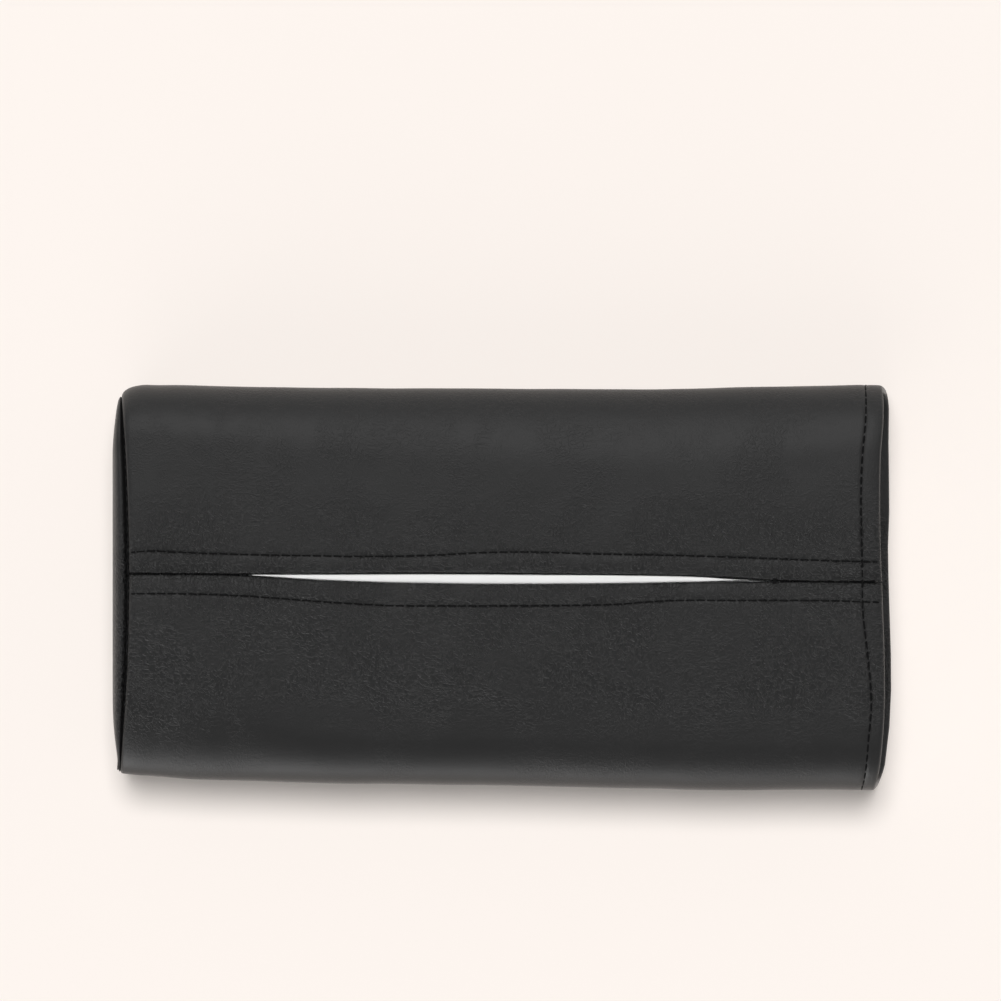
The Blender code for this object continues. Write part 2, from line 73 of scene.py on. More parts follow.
# %% [markdown]
# ## Sizes
# Everything is in metres. A maker thinks of leather and thread in millimetres, so lengths are written as a
# number times MM. The leather is about 0.8 mm thick, and its folded edges turn round a radius just wider
# than that, so that two layers lie on each other with a hair of room.
# %% Sizes of the cover
MM = 0.001
LENGTH = 240 * MM
HEIGHT = 56 * MM
LEATHER = 0.8 * MM
FOLD = 0.95 * MM            # radius of a folded edge
LIP_ROLL = 0.85 * MM        # how far a lip's edge rolls over, seen from above
LIP_SHOW = 0.5 * MM         # how far the turned layer of the rear lip peeps out below it,
FULL_SLIT = 3.5 * MM        # where the slit is at least this wide
SHOULDER_HEIGHT = 11.4 * MM
SHOULDER_POWER = 2.1
BASE_RADIUS = 6 * MM
CROWN_REACH = 44 * MM
CROWN = 1.1 * MM            # the top falls by this much towards the shoulders
LIP_SINK = 0.6 * MM
LIP_BAND = 8 * MM
LIP_PLUMP = 0.25 * MM       # the doubled lip swells between its edge and its stitching
ROW_REACH = 2 * MM          # how far the close columns go on each side of a lip's stitching
WALL_LEAN = 0.5 * MM        # the walls come in by this much towards the floor
SEWN_DRAW = 0.9 * MM        # the leather is drawn in at the sewn end
MOUTH_DRAW = 0.4 * MM
END_ZONE = 10 * MM
PITCH = 3.2 * MM            # of the stitches
HEM_ALLOWANCE = 9.5 * MM

# %% [markdown]
# ## The lines of the cover
# A hand-made cover isn't quite regular: its walls bow, the slit is wider in the middle and the rows of
# stitching wander a little. Each such line is given as a few points, in millimetres along the cover and
# across it, and a smooth curve is led through them. A cubic through few points keeps the line soft, where
# straight runs between many points would show as corners.
# %% A smooth curve through a few points


def trace(points, at):
    """The values of a smooth curve through (place, value) points in millimetres, at places in metres."""
    places, values = np.array(points, float).T * MM
    slopes = np.gradient(values, places)
    at = np.clip(at, places[0], places[-1])
    after = np.clip(np.searchsorted(places, at), 1, len(places) - 1)
    run = places[after] - places[after - 1]
    share = (at - places[after - 1]) / run
    start, stop = values[after - 1], values[after]
    lean_start, lean_stop = slopes[after - 1] * run, slopes[after] * run
    return ((2 * share ** 3 - 3 * share ** 2 + 1) * start + (3 * share ** 2 - 2 * share ** 3) * stop
            + (share ** 3 - 2 * share ** 2 + share) * lean_start + (share ** 3 - share ** 2) * lean_stop)


def trace_at(points, x):
    """The same for a single place."""
    return float(trace(points, np.array([x]))[0])


# The sign of a side's Y, then the lines of its wall, lip and stitching, and the width of its shoulder
Side = namedtuple("Side", "sign wall lip row shoulder")
REAR = Side(1,
            [(-120, 56.8), (-118.4, 59.6), (-116, 61.5), (-112.5, 62.4), (-106, 62.5), (-80, 62.0),
             (-62, 61.75), (-12, 61.45), (58, 61.45), (70, 61.75), (95, 62.35), (120, 62.7)],
            [(-120, 4.3), (-80, 3.98), (-74.3, 3.98), (-62, 4.16), (-40.4, 4.47), (-6.5, 4.47), (18.2, 4.2),
             (46, 3.92), (61.4, 3.55), (67.6, 3.2), (83.6, 2.05), (120, 1.7)],
            [(-120, 9.9), (-110.4, 11.0), (-95, 10.5), (-77.4, 9.96), (-62, 9.69), (-42, 9.41), (-18.8, 9.87),
             (-12.3, 10.27), (7.1, 10.8), (26.2, 10.27), (55.2, 9.69), (84.2, 8.73), (103.3, 8.02),
             (120, 7.6)],
            [(-120, 15), (-60, 20), (0, 23), (60, 25), (120, 20)])
FRONT = Side(-1,
             [(-120, -58.4), (-110, -58.6), (-95, -59.8), (-75, -60.3), (-65, -60.65), (-24, -61.35),
              (13, -61.95), (38, -62.55), (53, -62.85), (63, -63.1), (107, -63.1), (120, -63.3)],
             [(-120, 3.9), (-80, 3.58), (-74.3, 3.3), (-62, 2.47), (-40.4, 1.54), (-6.5, 0.93), (18.2, 0.93),
              (46, 1.23), (61.4, 1.54), (67.6, 1.54), (83.6, 1.7), (120, 1.3)],
             [(-120, -2.2), (-102.1, -2.07), (-77.1, -2.93), (-66.6, -3.7), (-52.4, -4.75), (-34.9, -5.74),
              (-11.7, -5.86), (16.7, -5.74), (35.8, -5.37), (50.3, -4.32), (74.3, -4.2), (103.3, -4.32),
              (120, -4.85)],
             [(-120, 32), (-100, 26), (-60, 17), (0, 16), (60, 15.5), (120, 15.5)])
HEM_EDGE = [(-64, 114.2), (-59.5, 115.7), (-53.4, 116.9), (-45.7, 117.7), (-4, 117.7), (11.4, 117.1),
            (40.4, 117.0), (53.7, 117.7), (62, 116.9), (64, 116.3)]
HEM_ROW = [(-64, 3.7), (-47.2, 4.4), (-37.9, 4.1), (-22.5, 5.1), (-7.1, 6.3), (8.3, 5.9), (33, 5.9),
           (50, 5.6), (64, 5.5)]
SLIT_START, SLIT_STOP = -78.4 * MM, 83.6 * MM
print("slit, mm wide in the middle:", round((trace_at(REAR.lip, 0) - trace_at(FRONT.lip, 0)) / MM, 2))

# %% [markdown]
# ## The cross-section
# A point of the leather is named by its place along the cover and by a column, which says where it lies
# round the section: on the lip's rolled edge, near the row of stitching, on the crown, on the shoulder, on
# the wall, round the base or on the floor. The shoulder is a superellipse, because soft leather over a
# carton's edge is fuller than a circle. `lay` gives the outer face and the way into the leather, for many
# places at once.
# %% Where a column runs
Column = namedtuple("Column", "side zone value under phase")


def draw_in(x):
    sewn = np.clip(1 - (x + LENGTH / 2) / END_ZONE, 0, None)
    mouth = np.clip(1 - (LENGTH / 2 - x) / END_ZONE, 0, None)
    return SEWN_DRAW * sewn ** 2 + MOUTH_DRAW * mouth ** 2


def lay(x, column):
    """Y and Z of the outer face at x, then the Y and Z of the way into the leather."""
    sign, value = column.side.sign, column.value
    drawn = draw_in(x)
    lip, row = trace(column.side.lip, x), trace(column.side.row, x)
    line = (trace(REAR.lip, x) + trace(FRONT.lip, x)) / 2
    wall = trace(column.side.wall, x) - sign * drawn
    shoulder_width = trace(column.side.shoulder, x)
    shoulder = wall - sign * shoulder_width

    def top(y):
        out = abs(y - line)
        sink = LIP_SINK * np.clip(1 - out / LIP_BAND, 0, None) ** 2
        across = np.clip((y - lip) / (row - lip), 0, 1)
        plump = LIP_PLUMP * 4 * across * (1 - across)
        return HEIGHT - drawn - CROWN * (out / CROWN_REACH) ** 2 - sink + plump

    wall_top = top(wall) - SHOULDER_HEIGHT
    rolled = lip + sign * LIP_ROLL
    way_y, way_z = np.zeros_like(x), -np.ones_like(x)
    if column.zone == "roll":
        opened = np.clip((trace(REAR.lip, x) - trace(FRONT.lip, x)) / FULL_SLIT, 0, 1)
        peep = LIP_SHOW * opened * max(0.0, math.sin(-2 * value)) * (sign > 0)
        y = rolled - sign * (LIP_ROLL * math.cos(value) + peep)
        z = top(rolled) - FOLD + FOLD * math.sin(value)
    elif column.zone == "near":
        y = rolled + (row - sign * ROW_REACH - rolled) * value
        z = top(y)
    elif column.zone == "row":
        y = row + sign * value
        z = top(y)
    elif column.zone == "crown":
        start = row + sign * ROW_REACH
        y = start + (shoulder - start) * value
        z = top(y)
    elif column.zone == "shoulder":
        across = max(0.0, math.cos(value)) ** (2 / SHOULDER_POWER)
        up = max(0.0, math.sin(value)) ** (2 / SHOULDER_POWER)
        y = shoulder + sign * shoulder_width * across
        z = top(y) - SHOULDER_HEIGHT * (1 - up)
        slope_y = across ** (SHOULDER_POWER - 1) / shoulder_width
        slope_z = up ** (SHOULDER_POWER - 1) / SHOULDER_HEIGHT
        steep = np.hypot(slope_y, slope_z)
        way_y, way_z = -sign * slope_y / steep, -slope_z / steep
    elif column.zone == "wall":
        low = drawn + BASE_RADIUS
        z = wall_top + (low - wall_top) * value
        y = wall - sign * WALL_LEAN * value ** 3
        way_y, way_z = way_y - sign, way_z * 0
    elif column.zone == "base":
        y = wall - sign * (BASE_RADIUS * (1 - math.cos(value)) + WALL_LEAN)
        z = drawn + BASE_RADIUS - BASE_RADIUS * math.sin(value)
        way_y, way_z = way_y - sign * math.cos(value), way_z * -math.sin(value)
    else:
        y = line + (wall - sign * (BASE_RADIUS + WALL_LEAN) - line) * value
        z = drawn + 0 * x
        way_z = -way_z
    return y, z, way_y, way_z


def lay_at(x, column):
    """The same for a single place."""
    return tuple(float(value[0]) for value in lay(np.array([x]), column))


print("the top of the rear wall is at y, z, mm:",
      [round(value / MM, 1) for value in lay_at(0, Column(REAR, "wall", 0, False, None))[:2]])

# %% [markdown]
# ## Columns and rows of the cut panel
# The panel is ruled like a cutting pattern: columns run along the cover and rows run round it. Both lie
# closer together beside the stitching, where the leather puckers. The rows come three to a stitch, so that
# every hole of the long rows has a row of its own. Round the mouth, two columns go to a stitch on the top
# and the shoulders, and one on the walls.
# %% Columns round the section
TYPICAL_SHOULDER = 18 * MM


def even_angles(steps):
    """Angles down the shoulder that are the same distance apart along it."""
    angles = np.linspace(math.pi / 2, 0, 400)
    across = TYPICAL_SHOULDER * np.cos(angles).clip(0) ** (2 / SHOULDER_POWER)
    up = SHOULDER_HEIGHT * np.sin(angles).clip(0) ** (2 / SHOULDER_POWER)
    run = np.concatenate([[0], np.cumsum(np.hypot(np.diff(across), np.diff(up)))])
    return np.interp(np.linspace(0, run[-1], steps + 1), run, angles)[1:]


ROW_OFFSETS = [offset * MM for offset in (-2.0, -1.2, -0.7, -0.35, 0, 0.35, 0.7, 1.2, 2.0)]
UNDER_OFFSETS = [offset * MM for offset in (2.6, 1.2, 0, -1.2)]  # of the lip's layer that is folded under
CROWN_STEPS = {1: 22, -1: 24}       # behind the slit and in front of it
SHOULDER_STEPS = 15
WALL_STEPS = 11


def side_columns(side):
    """The columns of one half, from the cut edge of its lip to the middle of the floor.

    A column's phase counts the stitches of the mouth's row that come before it.
    """
    crown_steps = CROWN_STEPS[side.sign]
    columns = [Column(side, "row", offset, True, None) for offset in UNDER_OFFSETS]
    columns += [Column(side, "near", share, True, None) for share in (0.4, 0.0)]
    columns += [Column(side, "roll", math.radians(angle), angle < 0, None) for angle in (-60, -30, 0, 30, 60)]
    columns += [Column(side, "near", share, False, None) for share in (0.0, 0.33, 0.67)]
    columns += [Column(side, "row", offset, False, (offset - ROW_REACH) / PITCH) for offset in ROW_OFFSETS]
    columns += [Column(side, "crown", step / crown_steps, False, step / 2)
                for step in range(1, crown_steps + 1)]
    phase = crown_steps / 2
    columns += [Column(side, "shoulder", angle, False, phase + (step + 1) / 2)
                for step, angle in enumerate(even_angles(SHOULDER_STEPS))]
    phase += SHOULDER_STEPS / 2 + 0.5
    columns += [Column(side, "wall", step / WALL_STEPS, False, phase + step) for step in range(1, WALL_STEPS)]
    phase += WALL_STEPS
    columns += [Column(side, "base", math.radians(angle), False, phase + index)
                for index, angle in enumerate((0, 30, 60, 90))]
    columns += [Column(side, "floor", share, False, None) for share in (0.8, 0.6, 0.4, 0.2)]
    return columns


rear_columns, front_columns = side_columns(REAR), side_columns(FRONT)
WRAP = rear_columns + [Column(REAR, "floor", 0.0, False, None)] + front_columns[::-1]
print("columns round the section:", len(WRAP))

# %% [markdown]
# The two ends are turned under. A row is therefore anchored to the folded edge of the end that it is near,
# or to a fixed place in the middle. It also has a depth: nought on the outer face, and twice the fold's
# radius on the layer that is turned under.
# %% Rows along the cover
Row = namedtuple("Row", "anchor offset depth turned")
MIDDLE_START, MIDDLE_STEPS = -109.6 * MM, 203
MIDDLE_STOP = MIDDLE_START + MIDDLE_STEPS * PITCH / 3
HOLE_START = MIDDLE_START - 2 * PITCH
FOLD_ANGLES = [math.radians(angle) for angle in (30, 60, 90, 120, 150)]
HEM_OFFSETS = [offset * MM for offset in (2.2, 1.3, 0.75, 0.35, 0, -0.35, -0.75, -1.3, -2.2)]


def fold_rows(anchor):
    return [Row(anchor, FOLD - FOLD * math.sin(angle), FOLD - FOLD * math.cos(angle), angle > math.pi / 2)
            for angle in FOLD_ANGLES]


ROWS = [Row("sewn", offset * MM, 2 * FOLD, True) for offset in (5.0, 3.5, 2.2)]
ROWS += [Row("sewn", FOLD, 2 * FOLD, True)] + fold_rows("sewn")[::-1] + [Row("sewn", FOLD, 0, False)]
ROWS += [Row("sewn share", share, 0, False) for share in (0.17, 0.34, 0.5, 0.67, 0.84)]
ROWS += [Row("place", MIDDLE_START + step * PITCH / 3, 0, False) for step in range(MIDDLE_STEPS + 1)]
ROWS += [Row("hem share", share, 0, False) for share in (0.35, 0.7)]
ROWS += [Row("hem row", offset, 0, False) for offset in HEM_OFFSETS]
ROWS += [Row("mouth", FOLD, 0, False)] + fold_rows("mouth") + [Row("mouth", FOLD, 2 * FOLD, True)]
ROWS += [Row("hem row", offset, 2 * FOLD, True) for offset in (-1.3 * MM, 0, 1.3 * MM)]
ROWS += [Row("mouth", HEM_ALLOWANCE, 2 * FOLD, True)]
print("rows along the cover:", len(ROWS))

# %% [markdown]
# ## The folded edges at the two ends
# Seen from above, the sewn end bows inwards between its corners, because the seam draws it in there. The
# mouth is nearly straight, its corners are set back, and its lower lip stands out a few millimetres further.
# %% Folded edges of the ends
SEWN_MIDDLE, SEWN_HALF = 2.1 * MM, 60.5 * MM    # of the sewn end, across the cover
SEWN_INSET, SEWN_BOW = 1.8 * MM, 3.4 * MM
LOW_LEAD, LOW_LEAD_POWER = 4.5 * MM, 0.8        # of the mouth's lower lip over the upper one
LOW_BULGE, BULGE_PLACE, BULGE_REACH = 1.0 * MM, 28 * MM, 14 * MM
LOW_HEM_ROW = 5 * MM                            # from the lower lip's edge to its stitching


def sewn_edge(y):
    across = (y - SEWN_MIDDLE) / SEWN_HALF
    return -LENGTH / 2 + SEWN_INSET + SEWN_BOW * np.clip(1 - across ** 2, 0, None)


def sewn_x(column):
    return float(sewn_edge(lay_at(-LENGTH / 2, column)[0]))


def mouth_edge(y, z):
    lead = LOW_LEAD + LOW_BULGE * np.exp(-((y - BULGE_PLACE) / BULGE_REACH) ** 2)
    return trace(HEM_EDGE, y) + lead * (1 - np.clip(z / HEIGHT, 0, 1)) ** LOW_LEAD_POWER


def hem_offset(y, z):
    """How far the hem's stitching lies from its folded edge."""
    share = np.clip(z / HEIGHT, 0, 1) ** 2
    return trace(HEM_ROW, y) * share + LOW_HEM_ROW * (1 - share)


def row_places(column):
    """X of every row on a column, and X of the hem's stitching there."""
    sewn = sewn_x(column)
    mouth_y, mouth_z = lay_at(LENGTH / 2, column)[:2]
    mouth = float(mouth_edge(mouth_y, mouth_z))
    hem = mouth - float(hem_offset(mouth_y, mouth_z))
    starts_and_runs = {"sewn": (sewn, 1), "sewn share": (sewn + FOLD, MIDDLE_START - sewn - FOLD),
                       "place": (0, 1), "hem share": (MIDDLE_STOP, hem - HEM_OFFSETS[0] - MIDDLE_STOP),
                       "hem row": (hem, -1), "mouth": (mouth, -1)}
    places = []
    for row in ROWS:
        start, run = starts_and_runs[row.anchor]
        places.append(start + run * row.offset)
    return np.array(places), hem


floor_places, floor_hem = row_places(WRAP[len(rear_columns)])
print("on the floor the rows run from", round(floor_places.min() / MM, 1), "to",
      round(floor_places.max() / MM, 1), "mm, with the hem's stitching at", round(floor_hem / MM, 1))

# %% [markdown]
# ## How stitching pulls the leather
# Each row of stitches lies in a shallow channel, deepest at the needle holes. The depth is a bell curve
# across the row, with a narrower and deeper bell at each hole. A wide, low swell of the whole skin is added
# from smooth noise, since leather this soft never lies flat. It fades at the ends, which the thread holds,
# and at the floor.
# %% Channels, holes and swells
CHANNEL_DEPTH, CHANNEL_REACH = 0.18 * MM, 0.40 * MM
DRAG_DEPTH, DRAG_REACH = 0.05 * MM, 1.6 * MM
HOLE_DEPTH, HOLE_REACH = 0.20 * MM, 0.55 * MM
SWELL_DEPTH, RIPPLE_DEPTH = 0.22 * MM, 0.09 * MM
SWELL_STOPS, SWELL_FADE = (-114 * MM, 113 * MM), 9 * MM
FLOOR_FADE = 8 * MM


def pull(across, along):
    """Depth of the leather at a distance across a row of stitching and a distance along it to a hole."""
    bell = np.exp(-(across / CHANNEL_REACH) ** 2)
    return (CHANNEL_DEPTH * bell + DRAG_DEPTH * np.exp(-(across / DRAG_REACH) ** 2)
            + HOLE_DEPTH * bell * np.exp(-(along / HOLE_REACH) ** 2))


def to_hole(phase):
    """Distance to the nearest hole, where the phase counts stitches."""
    return abs(phase - np.round(phase)) * PITCH


def swell(x, y, z):
    """How far the skin stands out, by noise that is a little finer across the cover than along it."""
    fade = np.clip(np.minimum(x - SWELL_STOPS[0], SWELL_STOPS[1] - x) / SWELL_FADE, 0, 1)
    fade = fade * np.clip(z / FLOOR_FADE - 0.5, 0, 1)
    heights = [SWELL_DEPTH * noise.noise((px * 26 + 3, py * 34, pz * 26))
               + RIPPLE_DEPTH * noise.noise((px * 75, py * 95 + 7, pz * 75)) for px, py, pz in zip(x, y, z)]
    return np.array(heights) * fade


def lay_column(column):
    """The points of one column, row by row."""
    x, hem = row_places(column)
    y, z, way_y, way_z = lay(x, column)
    depth = np.array([row.depth for row in ROWS])
    if column.under:
        depth = depth + 2 * FOLD * (column.zone != "roll")
    pulled = np.zeros_like(x)
    if column.zone in ("near", "row", "crown"):
        off_row = abs(y - trace(column.side.row, x))
        pulled = pull(off_row, to_hole((x - HOLE_START) / PITCH))
    phase = column.phase if column.phase is not None else 0.5
    pulled = np.maximum(pulled, pull(abs(x - hem), to_hole(np.array(phase))))
    if column.zone == "roll":
        pulled = pulled * 0.5
    depth = depth + pulled - swell(x, y, z)
    return np.stack([x, y + way_y * depth, z + way_z * depth], axis=1)


points = np.stack([lay_column(column) for column in WRAP], axis=1)

# %% [markdown]
# ## Shader maths as Python
# A finish is a little network of shader nodes. Written out link by link it is hard to read, so one small
# class wraps a node's output and lets Python's own signs add the Math nodes. One method makes any other
# node.
# %% A socket that can be calculated with


class Strand:
    """One output of a shader node, which can be calculated with."""

    def __init__(self, finish, output):
        self.finish = finish
        self.output = output

    def math(self, operation, first, second):
        return self.finish.node("Math", {"operation": operation}, {0: first, 1: second})

    def __add__(self, other):
        return self.math("ADD", self, other)

    def __radd__(self, other):
        return self.math("ADD", other, self)

    def __sub__(self, other):
        return self.math("SUBTRACT", self, other)

    def __rsub__(self, other):
        return self.math("SUBTRACT", other, self)

    def __mul__(self, other):
        return self.math("MULTIPLY", self, other)

    def __rmul__(self, other):
        return self.math("MULTIPLY", other, self)

    def __pow__(self, other):
        return self.math("POWER", self, other)

    def __rpow__(self, other):
        return self.math("POWER", other, self)


class Finish:
    """The nodes of a material, or of the world, under construction."""

    def __init__(self, owner):
        self.owner = owner
        owner.use_nodes = True
        self.tree = owner.node_tree
        self.tree.nodes.clear()

    def node(self, kind, settings=None, inputs=None, output=0):
        """Adds a node, with its settings first and then the values or links of its sockets."""
        made = self.tree.nodes.new("ShaderNode" + kind)
        for name, value in (settings or {}).items():
            setattr(made, name, value)
        for name, value in (inputs or {}).items():
            socket = made.inputs[name]
            if isinstance(value, Strand):
                self.tree.links.new(value.output, socket)
            else:
                socket.default_value = value
        return Strand(self, made.outputs[output]) if made.outputs else None

    def clouds(self, scale, detail, roughness=0.5, distortion=0.0):
        """Noise on the piece's own coordinates, with features of about one over scale metres."""
        place = self.node("TexCoord", output="Object")
        return self.node("TexNoise", None, {"Vector": place, "Scale": scale, "Detail": detail,
                                            "Roughness": roughness, "Distortion": distortion})

    def ease(self, value, start, stop, least=0.0):
        """Goes softly from least to 1 while the value goes from start to stop."""
        return self.node("MapRange", {"interpolation_type": "SMOOTHSTEP"},
                         {"Value": value, "From Min": start, "From Max": stop, "To Min": least})

    def tones(self, share, dark, pale):
        """A colour between two, by the share of the second."""
        return self.node("Mix", {"data_type": "RGBA"}, {0: share, 6: (*dark, 1.0), 7: (*pale, 1.0)}, output=2)

    def relief(self, height, strength, depth):
        return self.node("Bump", None, {"Height": height, "Strength": strength, "Distance": depth * MM})

    def close(self, **inputs):
        """Ends a material in the main shader. Spaces in a socket's name are written as underscores."""
        sockets = {name.replace("_", " "): value for name, value in inputs.items()}
        self.node("OutputMaterial", None, {"Surface": self.node("BsdfPrincipled", None, sockets)})
        return self.owner


def new_finish(name):
    return Finish(bpy.data.materials.new(name))


# %% [markdown]
# ## Black grained leather
# The cover's leather look is a coated cloth that was pressed against a grained roller: short fine ridges,
# about a millimetre long, that run across in some places and along in others. Ridged noise gives such
# lines, and stretching its coordinates draws them out. A slow noise turns from one direction to the other,
# and another one leaves patches where handling has worn the grain nearly smooth. The grain stands up beside
# the slit, where the cover is slack, and is stretched smooth towards the carton's edges, so the place
# across the cover matters. The valleys of the grain are painted darker than the ridge tops, as painted
# shade in the hollows. Fine pores break up the shine everywhere.
# %% Leather finish
# Where the grain starts to be stretched smooth, where it is smoothest, and what is left of it there
STRETCHED = [(14 * MM, 34 * MM, 0.20), (-28 * MM, -50 * MM, 0.12)]


def leather_finish(name):
    finish = new_finish(name)
    place = finish.node("TexCoord", output="Object")

    def squiggles(stretch, scale):
        """Fine ridges that are drawn out along one direction."""
        drawn = finish.node("VectorMath", {"operation": "MULTIPLY"}, {0: place, 1: stretch})
        ridges = finish.node("TexNoise", {"noise_type": "RIDGED_MULTIFRACTAL", "normalize": False},
                             {"Vector": drawn, "Scale": scale, "Detail": 2.0, "Roughness": 0.5, "Offset": 0.9,
                              "Gain": 1.0, "Distortion": 0.5})
        return finish.ease(ridges, 0.35, 1.5)

    turn = finish.ease(finish.clouds(30.0, 2.0), 0.44, 0.56)
    grain = finish.node("Mix", {"data_type": "FLOAT"}, {0: turn, 2: squiggles((1.0, 0.8, 1.0), 1020.0),
                                                        3: squiggles((0.72, 1.0, 1.0), 980.0)})
    broad = finish.clouds(42.0, 3.0, distortion=0.6)
    patch = finish.ease(broad, 0.36, 0.58, least=0.32)
    across_cover = finish.node("SeparateXYZ", None, {"Vector": place}, output="Y")
    for slack, tight, least in STRETCHED:
        patch = patch * finish.ease(across_cover, tight, slack, least)
    pores = finish.clouds(2400.0, 3.0, roughness=0.6)
    # Tone share: the grain's valleys are painted darker as shade in the hollows, less so in the worn smooth
    # patches.
    grain_shade_and_wear = (grain - 0.3) * patch * 1.2 + 0.47
    return finish.close(Base_Color=finish.tones(grain_shade_and_wear, (0.0010, 0.0010, 0.0012), (0.0150, 0.0148, 0.0146)),
                        Roughness=0.42 + (pores - 0.5) * 0.12 + (broad - 0.5) * 0.06, Specular_IOR_Level=0.60,
                        Normal=finish.relief(grain * patch + pores * 0.11, 1.0, 0.38))


LEATHER_FINISH = leather_finish("black_pebbled_leather")
print("leather nodes:", len(LEATHER_FINISH.node_tree.nodes))

# %% [markdown]
# ## The plainer finishes
# Four more materials differ in tone and shine but are built alike: a fine noise gives the nap, crepe or
# fibre, in tone, relief and shine, and a broad one clouds the tone. They are the flesh side inside the
# cover, a near-black matt finish on the edge turned under the rear lip, which is painted shade for the dark
# line in the slit, the tissue and the coated board. One function makes them all. Thread and film have
# patterns of their own: slanting plies, and a soft ripple.
# %% Flesh side, painted shade on the turned edge, paper and board


def mottled_finish(name, fine, broad, fine_share, dark, pale, relief, rough, shine, broad_relief=0.0):
    """A finish of two noises, fine and broad, each given by its scale, detail and roughness.

    relief is a strength and a depth in mm, and rough is a base and the share of the fine noise in it.
    """
    finish = new_finish(name)
    grain, cloud = finish.clouds(*fine), finish.clouds(*broad)
    tone = finish.tones(grain * fine_share + cloud * (1 - fine_share), dark, pale)
    bump = finish.relief(grain + cloud * broad_relief, *relief)
    return finish.close(Base_Color=tone, Roughness=rough[0] + grain * rough[1], Specular_IOR_Level=shine,
                        Normal=bump)


LINING_FINISH = mottled_finish(
    "napped_flesh_side", fine=(2600.0, 4.0, 0.7), broad=(120.0, 2.0), fine_share=0.7, relief=(0.6, 0.12),
    dark=(0.012, 0.012, 0.012), pale=(0.034, 0.033, 0.032), rough=(0.88, 0.08), shine=0.2)
# Near-black and matt: painted shade for the turned edge of the rear lip that shows in the slit.
SLIT_SHADE_FINISH = mottled_finish(
    "turned_edge_painted_shade", fine=(700.0, 3.0), broad=(700.0, 3.0), fine_share=1.0, relief=(0.4, 0.08),
    dark=(0.0008, 0.0008, 0.0008), pale=(0.0030, 0.0030, 0.0030), rough=(0.85, 0.1), shine=0.06)
PAPER_FINISH = mottled_finish(
    "white_tissue_paper", fine=(1500.0, 3.0), broad=(90.0, 3.0), fine_share=0.5, relief=(0.35, 0.10),
    dark=(0.86, 0.86, 0.85), pale=(0.93, 0.93, 0.92), rough=(0.9, 0.08), shine=0.15, broad_relief=1.0)
CARD_FINISH = mottled_finish(
    "white_carton_board", fine=(800.0, 5.0), broad=(40.0, 2.0), fine_share=0.6, relief=(0.15, 0.05),
    dark=(0.76, 0.755, 0.74), pale=(0.84, 0.835, 0.82), rough=(0.42, 0.2), shine=0.4)
print("plainer finishes:", [made.name for made in (LINING_FINISH, SLIT_SHADE_FINISH, PAPER_FINISH, CARD_FINISH)])

# %% Thread and film


def thread_finish(name):
    """Bonded nylon: black, a little satin, with the lay of its plies as slanting ridges."""
    finish = new_finish(name)
    place = finish.node("TexCoord", output="Object")
    plies = finish.node("TexWave", {"bands_direction": "DIAGONAL"},
                        {"Vector": place, "Scale": 900.0, "Distortion": 1.5})
    return finish.close(Base_Color=finish.tones(plies, (0.0015, 0.0015, 0.0016), (0.004, 0.004, 0.0042)),
                        Roughness=0.62 + plies * 0.15, Specular_IOR_Level=0.18,
                        Normal=finish.relief(plies, 0.5, 0.06))


def film_finish(name):
    """Clear film: it shows what lies under it, with a soft shine that isn't quite even."""
    finish = new_finish(name)
    ripple = finish.clouds(60.0, 2.0)
    return finish.close(Base_Color=(0.85, 0.87, 0.88, 1.0), Roughness=0.10 + ripple * 0.15, Alpha=0.22,
                        Specular_IOR_Level=0.5, Normal=finish.relief(ripple, 0.3, 0.4))


THREAD_FINISH = thread_finish("black_bonded_thread")
FILM_FINISH = film_finish("clear_window_film")
print("thread and film nodes:", [len(made.node_tree.nodes) for made in (THREAD_FINISH, FILM_FINISH)])

# %% [markdown]
# ## Working by hand, in code
# Blender's operators act on whatever is selected, so `take_up` clears the selection and takes up one piece,
# or several, and `pick` selects only the corners, edges or faces that a test asks for, in edit mode. The
# last two helpers finish a piece: smooth shading, a finish, the body that it rides on and the CAD node that
# it replaces.
# %% Helpers for picking and shaping


def take_up(*things):
    if bpy.context.object and bpy.context.object.mode != "OBJECT":
        bpy.ops.object.mode_set(mode="OBJECT")
    bpy.ops.object.select_all(action="DESELECT")
    for thing in things:
        thing.select_set(True)
    bpy.context.view_layer.objects.active = things[0]
    return things[0]


def start_editing(thing, kind="VERT"):
    """Edit mode on one piece, with all of it selected."""
    take_up(thing)
    bpy.ops.object.mode_set(mode="EDIT")
    bpy.ops.mesh.select_mode(type=kind)
    bpy.ops.mesh.select_all(action="SELECT")


def stop_editing():
    bpy.ops.object.mode_set(mode="OBJECT")


def pick(kind, wanted=lambda part: True):
    """In edit mode, selects only the corners, edges or faces that are wanted, and says how many."""
    thing = bpy.context.object
    bpy.ops.mesh.select_mode(type=kind)
    bpy.ops.mesh.select_all(action="DESELECT")
    mesh = bmesh.from_edit_mesh(thing.data)
    parts = {"VERT": mesh.verts, "EDGE": mesh.edges, "FACE": mesh.faces}[kind]
    chosen = [part for part in parts if wanted(part)]
    for part in chosen:
        part.select_set(True)
    mesh.select_flush_mode()
    bmesh.update_edit_mesh(thing.data)
    return len(chosen)


def apply_modifier(thing, kind, **settings):
    take_up(thing)
    modifier = thing.modifiers.new(kind.title(), kind)
    for name, value in settings.items():
        setattr(modifier, name, value)
    bpy.ops.object.modifier_apply(modifier=modifier.name)


def settle(thing):
    """Moves an object's place, turn and scale into its mesh."""
    take_up(thing)
    bpy.ops.object.transform_apply(location=True, rotation=True, scale=True)
    return thing


def lay_copy(thing, matrix):
    """A copy with its own mesh, which is moved by a matrix."""
    copy = thing.copy()
    copy.data = thing.data.copy()
    copy.data.transform(matrix)
    bpy.context.collection.objects.link(copy)
    return copy


# %% Helpers for finishing


def put_on(thing, finishes):
    for finish in finishes:
        thing.data.materials.append(finish)


